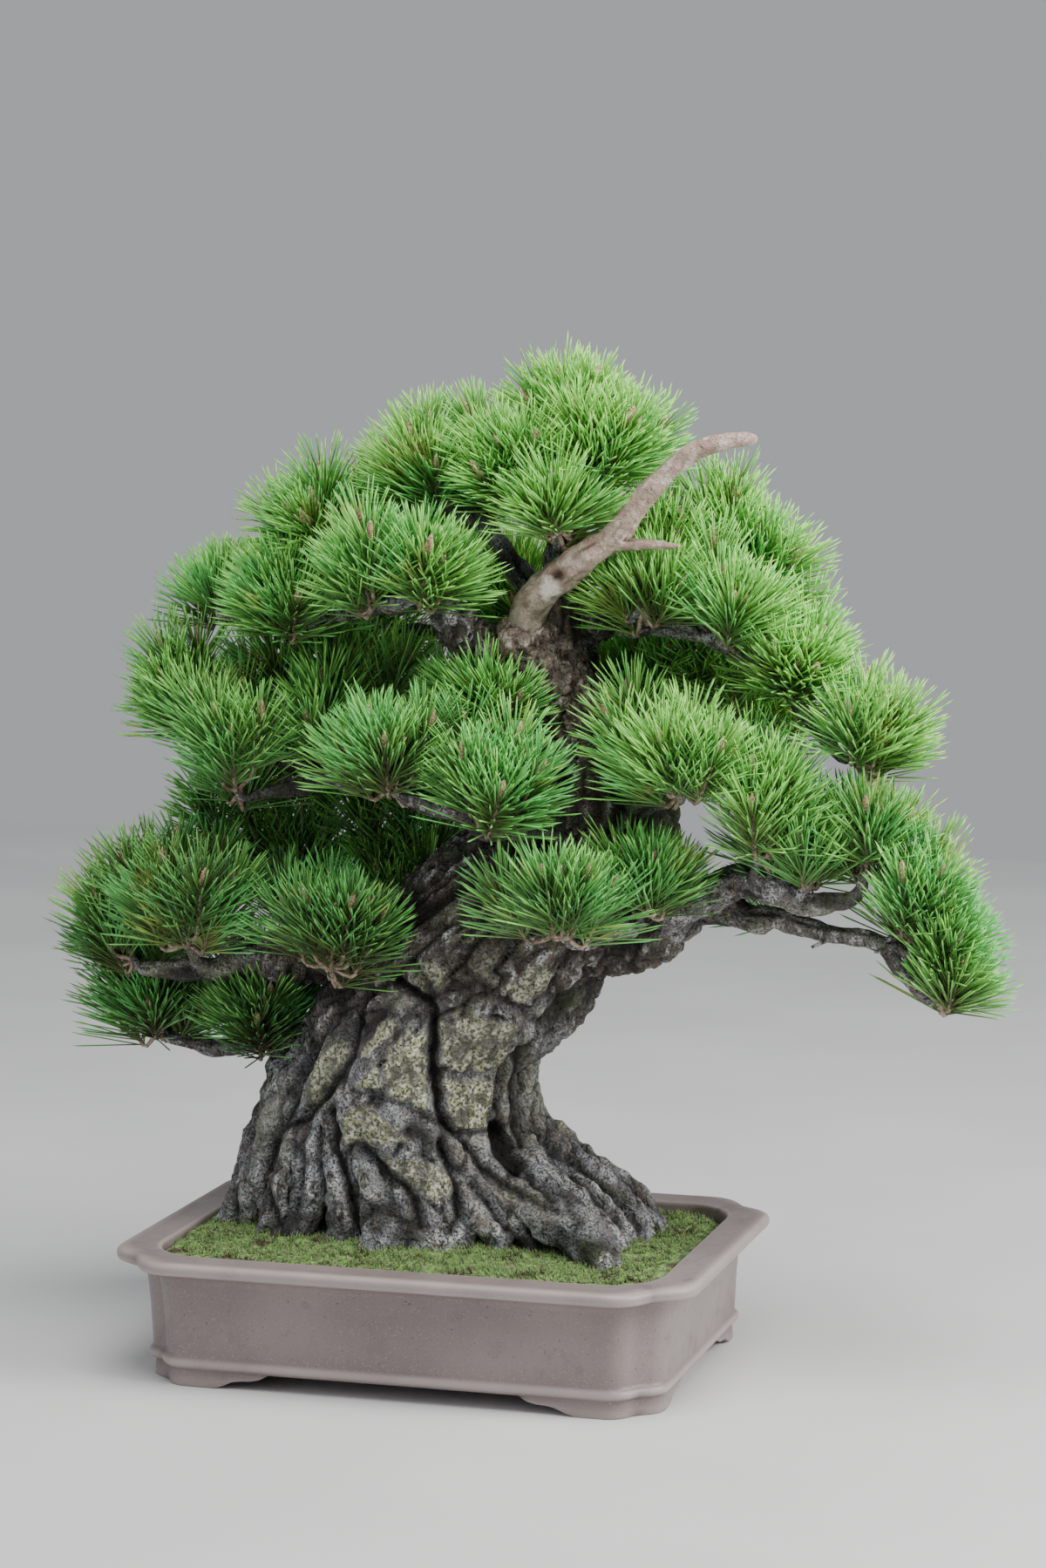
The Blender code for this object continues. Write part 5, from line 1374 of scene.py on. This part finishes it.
tubes = [(smooth_route(seen_rows(rows), JIN_GAP), JIN_SIDES) for rows in (JIN, JIN_SPUR)]
points, quads, caps, outward, radii, grain = gather(tubes)
twist = grain[:, 2] * JIN_TWIST
fibre = np.column_stack((np.cos(twist) * grain[:, 0] - np.sin(twist) * grain[:, 1],
                         np.sin(twist) * grain[:, 0] + np.cos(twist) * grain[:, 1],
                         grain[:, 2] * 0.1))
groove = 0.6 * value_noise(fibre, 0.0045, 81) + 0.4 * value_noise(fibre, 0.0022, 82)
knot = value_noise(points, 0.014, 83) + 0.6 * value_noise(points, 0.006, 85)
relief = np.clip(radii, 0, 0.012) * (GROOVE_DEPTH * groove + KNOT_DEPTH * knot)
points = points + outward * relief[:, None]
scar_far = np.linalg.norm((points - seen(*SCAR_PLACE)) * (1, 0.5, 0.8), axis=1)
scar_far = scar_far + 0.0035 * value_noise(points, 0.005, 84)
notch = 1 - rise(np.linalg.norm(points - seen(*NOTCH_PLACE), axis=1), *NOTCH_EDGE)
points = points - outward * (NOTCH_DEPTH * notch)[:, None]
jin = mesh_piece("jin_deadwood", points + POT_MIDDLE, quads, caps, (jin_material(),))
mark(jin, "groove", rise(-groove, 0.1, 0.7))
mark(jin, "scar", 1 - rise(scar_far, *SCAR_EDGE))
# The notch is darkened with painted shade.
mark(jin, "hollow", notch)
mark(jin, "low", 1 - rise(points[:, 2] + 0.012 * value_noise(points, 0.010, 86), *DULL_END))
belongs(jin, "dead_wood", "jin")


# Sprays: groups of young shoots on twigs. Each shoot bears pairs of stiff needles all
# round, the lower ones spread flat, the upper ones drawn together about a brown bud.
PAIRS = 42
NEEDLE_LENGTH = 0.053
NEEDLE_RADIUS = 0.00072
FOOT_THICKNESS = 0.85
# A shoot is at most this long, and at most this share of its way from the branchlet.
SHOOT_LENGTH = 0.040
SHOOT_SHARE = 0.74
# A shoot heads away from the branchlet by the first share, and upward by the second.
SHOOT_HEADING = (0.56, 0.44)
# Shoots between the given ends: the share of the way out at which they stand, and how much
# they stray.
BETWEEN_PULL = (0.78, 0.96)
BETWEEN_STRAY = 0.004
# How far needles lean off their shoot in degrees: from and to at its foot, and at its top.
FOOT_LEAN = (50, 66)
TOP_LEAN = 24
LEAN_STRAY = 7
GOLDEN_TURN = math.pi * (3 - math.sqrt(5))
TURN_STRAY = 0.12
PAIR_OPENING = 0.10
SHEATH_OFFSET = 0.0012
# A needle whose way rises less than this is lifted to a quarter of what it lacks.
HANG_LIMIT, HANG_SHARE = 0.12, 0.25
# Lengths: a shoot's vigour from and to, how much shorter the needles at its top are, and
# how much pairs and single needles stray.
VIGOUR = (0.86, 1.12)
FOOT_LONGER, TOP_SHORTER = 1.05, 0.27
PAIR_STRAY, SINGLE_STRAY = 0.05, 0.03
# Where a needle bends, as a share of its length, by how much it goes on its way and turns upward
# there, and its tone and sheath at the corners of its foot, its bend and its tip. The darker foot
# is painted shade deep in the spray.
BEND_PLACE = 0.87
BEND = (0.95, 0.05)
# Darker at the foot: painted shade deep in the spray.
TONE_STEPS = (-0.36,) * 3 + (0.05,) * 3 + (0.16,)
SHEATH_STEPS = (0.45,) * 3 + (0.0,) * 4
# Tone strays from shoot to shoot and from needle to needle, and rises up a shoot.
SHOOT_TONE_STRAY, NEEDLE_TONE_STRAY, TONE_RISE = 0.12, 0.16, 0.24
# Middle tone by height in millimetres: brighter high up, mostly painted light and shade and partly
# younger needles. A millimetre to the right, towards the light, counts as 0.4 upward.
TONE_HEIGHTS, AGE_AND_PAINTED_LIGHT_TONES = (240, 420, 620, 740), (0.15, 0.36, 0.64, 0.72)
LIGHT_SIDE = 0.4
# A twig starts this far inside its stub and ends this far inside its bud.
STUB_SINK = 0.004
BUD_SINK = 0.001
TWIG_HANDLE = 0.35
TWIG_SIDES = 6
TWIG_RADII = (0.0023, 0.0021, 0.0019, 0.0018, 0.0017, 0.0017, 0.0015, 0.0012)
# A bud: its length, its radii at these shares of it, and how small and large buds grow.
BUD_LENGTH = 0.019
BUD_SHARES = (0.0, 0.25, 0.6, 0.9, 1.0)
BUD_RADII = (0.0017, 0.0034, 0.0032, 0.0016, 0.0004)
BUD_SIZES = (0.75, 1.15)
BUD_LEAN = 0.08
# A shoot's end is given at this share of its bud.
BUD_REACH = 0.6
# Loose shoots round the back of each spray but the open ones: how many, where between the
# right (0) and the left (1) they stand, and how far off and how far up.
DEPTH_SHOOTS = 3
DEPTH_TURNS = (0.15, 0.85)
DEPTH_REACH = (0.030, 0.042)
DEPTH_RISE = (0.012, 0.034)
OPEN_SPRAYS = ("right_end", "right_tip", "right_outer", "front_low", "front_low_right")
# Sprays deeper than this in millimetres are at the back: no loose shoots, and needles brightened
# with painted light that lifts their shade.
BACK_LIMIT, BACK_PAINTED_LIGHT = 94, 0.18
# More shoots where the crown is fuller, most of them behind the front ones: ends as above.
MORE_SHOOTS = {
    "apex_crown": ((88, 764, 8), (116, 765, -6), (100, 762, 34), (72, 758, 20)),
    "left_outer": ((-236, 558, 34), (-205, 562, 46)),
    "left_middle_inner": ((-140, 548, 34), (-168, 550, 42), (-122, 560, 58), (-92, 564, 48),
                          (-62, 556, 56), (-30, 554, 44), (-150, 572, 26), (-76, 540, 66)),
    "left_outer_top": ((-118, 634, -14),),
    "back_left_upper": ((-60, 560, 120), (-104, 562, 92), (-22, 572, 112), (-88, 574, 76)),
    "back_left_middle": ((-78, 545, 96), (-38, 552, 92), (-4, 548, 72)),
    "back_upper": ((18, 588, 106), (38, 574, 118), (50, 596, 92), (30, 604, 104)),
    "left_low_front": ((-250, 394, 14), (-222, 404, -4), (-190, 400, 10), (-270, 386, -8)),
    "left_low_inner": ((-136, 356, -40), (-140, 376, -10)),
    "left_low_tip": ((-296, 356, -4), (-284, 318, 20)),
    "left_low_back": ((-170, 430, 88), (-206, 424, 62), (-142, 446, 108), (-100, 440, 112),
                      (-186, 398, 112), (-208, 446, 56), (-150, 472, 84), (-120, 480, 90),
                      (-92, 474, 96), (-180, 462, 72)),
    "left_low_under": ((-280, 272, 60), (-250, 270, 30), (-212, 312, 76), (-258, 312, 84),
                       (-276, 306, 62), (-200, 280, 60)),
    "left_back_centre": ((-76, 452, 84), (-30, 432, 84), (2, 424, 72), (-62, 440, 92),
                         (-8, 396, 66), (-36, 372, 60), (-64, 474, 88), (-36, 468, 80),
                         (-10, 464, 70), (-30, 340, 62), (-66, 336, 70)),
    "inner_right": ((112, 528, 40), (122, 554, 46), (150, 566, 50), (176, 562, 40)),
    "back_right": ((202, 562, 60), (226, 554, 50), (176, 540, 66), (190, 574, 40)),
    "back_middle": ((122, 560, 100), (160, 572, 92)),
    "centre_right_front": ((128, 508, -52), (142, 530, -30)),
    "right_upper_top": ((203, 680, 40), (184, 664, 24), (222, 690, 52), (164, 676, 36)),
    "right_upper_inner": ((158, 656, 10), (128, 622, -8), (134, 600, 6)),
    "right_shoulder": ((284, 602, 24),),
    "right_outer": ((362, 516, 4),),
    "crown_left": ((-14, 736, 6),),
    "crown_back": ((30, 732, 62), (-18, 728, 64)),
    "left_under_inner": ((-150, 322, 62), (-180, 316, 66), (-120, 322, 72), (-166, 300, 50),
                         (-132, 296, 44)),
    "right_low_back": ((226, 366, 64),)}


def needle_material():
    """Pine needles: waxy green, from deep blue-green through leaf green to lime by needle, with
    straw-coloured sheaths at the foot. The tone carries painted light and shade: brighter high up,
    to the right and at the back, and darker at each needle's foot."""
    material, tree, shader = new_material("pine_needles")
    tone = marked(tree, "tone")
    colour = layered(
        tree, linear(56, 102, 60),
        (ranged(tree, tone, 0.0, 0.5), linear(136, 216, 102)),
        (mottle(tree, 14, 0.42, 0.62), linear(106, 200, 106)),
        (ranged(tree, tone, 0.5, 1.0), linear(178, 250, 120)),
        (mottle(tree, 19, 0.60, 0.72), linear(164, 194, 96)),
        (marked(tree, "sheath"), linear(142, 124, 82)))
    fill_sockets(tree, shader, {"Base Color": colour, "Roughness": 0.42})
    return material


def twig_material():
    """Young pine twigs: tan to grey-brown, rough with the scars of fallen needles."""
    material, tree, shader = new_material("twig_bark")
    scars = (mottle(tree, 240, 0.35, 0.65), linear(178, 160, 138))
    colour = layered(tree, linear(116, 100, 84), scars)
    fill_sockets(tree, shader, {"Base Color": colour, "Roughness": 0.85})
    bump(tree, shader, mottle(tree, 600, 0.3, 0.7), 0.0006)
    return material


def bud_material():
    """Resting buds: red-brown scales edged with pale resin."""
    material, tree, shader = new_material("bud_scales")
    resin = (mottle(tree, 700, 0.4, 0.6), linear(206, 176, 150))
    colour = layered(tree, linear(136, 98, 76), resin)
    fill_sockets(tree, shader, {"Base Color": colour, "Roughness": 0.6})
    return material


def shoot_lines(name, root, tips, draw):
    """Foot, direction and length of every shoot of a spray: one for each given end, one
    between every end and the next, drawn back and strayed by a few millimetres, a few loose
    ones round the back, and its own of MORE_SHOOTS."""
    origin = seen(*root)
    ends = np.array([seen(*tip) for tip in tips])
    middles = (ends + np.roll(ends, 1, axis=0)) / 2
    pull = draw.uniform(*BETWEEN_PULL, (len(ends), 1))
    middles = origin + (middles - origin) * pull + draw.normal(0, BETWEEN_STRAY, ends.shape)
    more = [seen(*tip) for tip in MORE_SHOOTS.get(name, ())]
    loose = 0 if name in OPEN_SPRAYS or root[2] > BACK_LIMIT else DEPTH_SHOOTS
    turn = draw.uniform(*DEPTH_TURNS, loose) * math.pi
    reach = draw.uniform(*DEPTH_REACH, loose)
    depth = origin + np.column_stack((np.cos(turn) * reach, np.sin(turn) * reach,
                                      draw.uniform(*DEPTH_RISE, loose)))
    ends = np.vstack([ends, middles, depth, *more])
    away = ends - origin
    axes = unit(unit(away) * SHOOT_HEADING[0] + UP * SHOOT_HEADING[1])
    lengths = np.minimum(SHOOT_LENGTH, SHOOT_SHARE * np.linalg.norm(away, axis=1))
    return ends - axes * (lengths + BUD_REACH * BUD_LENGTH)[:, None], axes, lengths


def needle_pairs(feet, axes, lengths, tone_with_painted_light, draw):
    """Needles of all shoots at once. Pair k of a shoot stands at the share (k + 1/2) / PAIRS
    up it, turned k golden angles round it, and leans off it by an angle that falls evenly
    from the foot to the top. What would hang is lifted to a quarter of its fall. A needle is
    a three-sided rod that bends slightly upward near its end, and closes in a point there.
    Returns points, quads, triangles, tone and sheath."""
    share = (np.arange(PAIRS) + 0.5) / PAIRS
    count = len(feet) * PAIRS
    pair_share = np.tile(share, len(feet))
    axis = np.repeat(axes, PAIRS, axis=0)
    side = unit(np.cross(axis, CROSS_GUIDE))
    other = np.cross(axis, side)
    turn = np.tile(np.arange(PAIRS) * GOLDEN_TURN, len(feet)) + np.repeat(
        draw.uniform(0, 2 * math.pi, len(feet)), PAIRS) + draw.normal(0, TURN_STRAY, count)
    foot_lean = np.repeat(draw.uniform(*FOOT_LEAN, len(feet)), PAIRS)
    lean = np.radians(foot_lean - (foot_lean - TOP_LEAN) * pair_share
                      + draw.normal(0, LEAN_STRAY, count))
    outward = np.cos(turn)[:, None] * side + np.sin(turn)[:, None] * other
    way = np.cos(lean)[:, None] * axis + np.sin(lean)[:, None] * outward
    lifted = HANG_LIMIT - (HANG_LIMIT - way[:, 2]) * HANG_SHARE
    way[:, 2] = np.where(way[:, 2] < HANG_LIMIT, lifted, way[:, 2])
    way = unit(way)
    place = np.repeat(feet, PAIRS, axis=0) + axis * (
        np.repeat(lengths, PAIRS) * pair_share)[:, None] + outward * SHEATH_OFFSET
    vigour = np.repeat(draw.uniform(*VIGOUR, len(feet)), PAIRS)
    long = (NEEDLE_LENGTH * vigour * (FOOT_LONGER - TOP_SHORTER * pair_share)
            * draw.normal(1, PAIR_STRAY, count))
    apart = unit(np.cross(way, draw.normal(size=(count, 3))))
    shoot_tone = np.repeat(draw.normal(tone_with_painted_light, SHOOT_TONE_STRAY, len(feet)), PAIRS)
    tone = (shoot_tone + TONE_RISE * (pair_share - 0.5)
            + draw.normal(0, NEEDLE_TONE_STRAY, count))
    ways = np.vstack([unit(way + sign * PAIR_OPENING * apart) for sign in (-1, 1)])
    place, long, tone = np.tile(place, (2, 1)), np.tile(long, 2), np.tile(tone, 2)
    long = long * draw.normal(1, SINGLE_STRAY, len(long))
    bend = unit(ways * BEND[0] + UP * BEND[1])
    middle = place + ways * (long * BEND_PLACE)[:, None]
    tip = middle + bend * (long * (1 - BEND_PLACE))[:, None]
    edge = unit(np.cross(ways, draw.normal(size=(len(ways), 3))))
    cross = np.cross(ways, edge)
    spoke = spokes(edge, cross, THIRDS) * NEEDLE_RADIUS
    corners = np.concatenate((place[:, None] + spoke * FOOT_THICKNESS,
                              middle[:, None] + spoke, tip[:, None]), axis=1)
    first = len(TONE_STEPS) * np.arange(len(ways))[:, None, None]
    quads = np.array(((0, 1, 4, 3), (1, 2, 5, 4), (2, 0, 3, 5)))[None] + first
    triangles = np.array(((3, 4, 6), (4, 5, 6), (5, 3, 6), (2, 1, 0)))[None] + first
    tones = np.clip(tone[:, None] + np.array(TONE_STEPS), 0, 1)
    sheath = np.tile(SHEATH_STEPS, len(ways))
    return (corners.reshape(-1, 3), quads.reshape(-1, 4), triangles.reshape(-1, 3),
            tones.ravel(), sheath)


def twig_route(start, heading, foot, axis, length):
    """A twig from its stub to a shoot and on up to the bud: a cubic with its handles along
    the stub and the shoot, then straight."""
    span = np.linalg.norm(foot - start)
    handles = (start, start + heading * span * TWIG_HANDLE,
               foot - axis * span * TWIG_HANDLE, foot)
    places = np.vstack((cubic(handles, len(TWIG_RADII) - 2), foot + axis * length * 0.5,
                        foot + axis * (length + BUD_SINK)))
    return np.column_stack((places, TWIG_RADII))


def bud_route(foot, axis, length, draw):
    """A bud on a shoot's end: an egg drawn out to a point."""
    top = foot + axis * length
    size = draw.uniform(*BUD_SIZES)
    lean = unit(axis + draw.normal(0, BUD_LEAN, 3))
    return np.array([(*(top + lean * BUD_LENGTH * size * share), radius * size ** 0.5)
                     for share, radius in zip(BUD_SHARES, BUD_RADII)])


NEEDLES, TWIGS, BUDS = needle_material(), twig_material(), bud_material()
draw = np.random.default_rng(5)
for name, (_, root, tips) in SPRAYS.items():
    feet, axes, lengths = shoot_lines(name, root, tips, draw)
    # Each spray's middle tone, with light and shade painted in by its height and side.
    tone_with_painted_light = np.interp(root[1] + LIGHT_SIDE * root[0], TONE_HEIGHTS, AGE_AND_PAINTED_LIGHT_TONES) + (
        BACK_PAINTED_LIGHT if root[2] > BACK_LIMIT else 0.0)
    points, quads, triangles, tone, sheath = needle_pairs(feet, axes, lengths, tone_with_painted_light, draw)
    start = seen(*root) - headings[name] * STUB_SINK
    shoots = list(zip(feet, axes, lengths))
    twigs = [(twig_route(start, headings[name], *shoot), TWIG_SIDES) for shoot in shoots]
    buds = [(bud_route(*shoot, draw), TWIG_SIDES) for shoot in shoots]
    kinds_quads, kinds_triangles = [np.zeros(len(quads))], [np.zeros(len(triangles))]
    for kind, tubes in ((1, twigs), (2, buds)):
        more = gather(tubes)[:3]
        quads = np.vstack((quads, more[1] + len(points)))
        triangles = np.vstack((triangles, more[2] + len(points)))
        kinds_quads.append(np.full(len(more[1]), kind))
        kinds_triangles.append(np.full(len(more[2]), kind))
        points = np.vstack((points, more[0]))
    spray = mesh_piece("needles_" + name, points + POT_MIDDLE, quads, triangles,
                       (NEEDLES, TWIGS, BUDS), kinds=np.concatenate(kinds_quads + kinds_triangles))
    mark(spray, "tone", np.append(tone, np.zeros(len(points) - len(tone))))
    mark(spray, "sheath", np.append(sheath, np.zeros(len(points) - len(sheath))))
    belongs(spray, "needles", "spray_" + name)


# Floor: a pale matt board under the pot's feet, flat and far wider than the pot. It is
# there to stand the pot on and isn't part of the bonsai.
FLOOR_SIDE = 6.0
floor_corners = np.array(((-1, -1, 0), (1, -1, 0), (1, 1, 0), (-1, 1, 0))) * FLOOR_SIDE / 2
floor = mesh_piece("floor", floor_corners + POT_MIDDLE, ((0, 1, 2, 3),), (), (), smooth=False)
material, tree, shader = new_material("pale_floor")
clouds = (mottle(tree, 3, 0.3, 0.7), linear(222, 222, 222))
colour = layered(tree, linear(214, 214, 214), clouds)
fill_sockets(tree, shader, {"Base Color": colour, "Roughness": 0.7})
floor.data.materials.append(material)
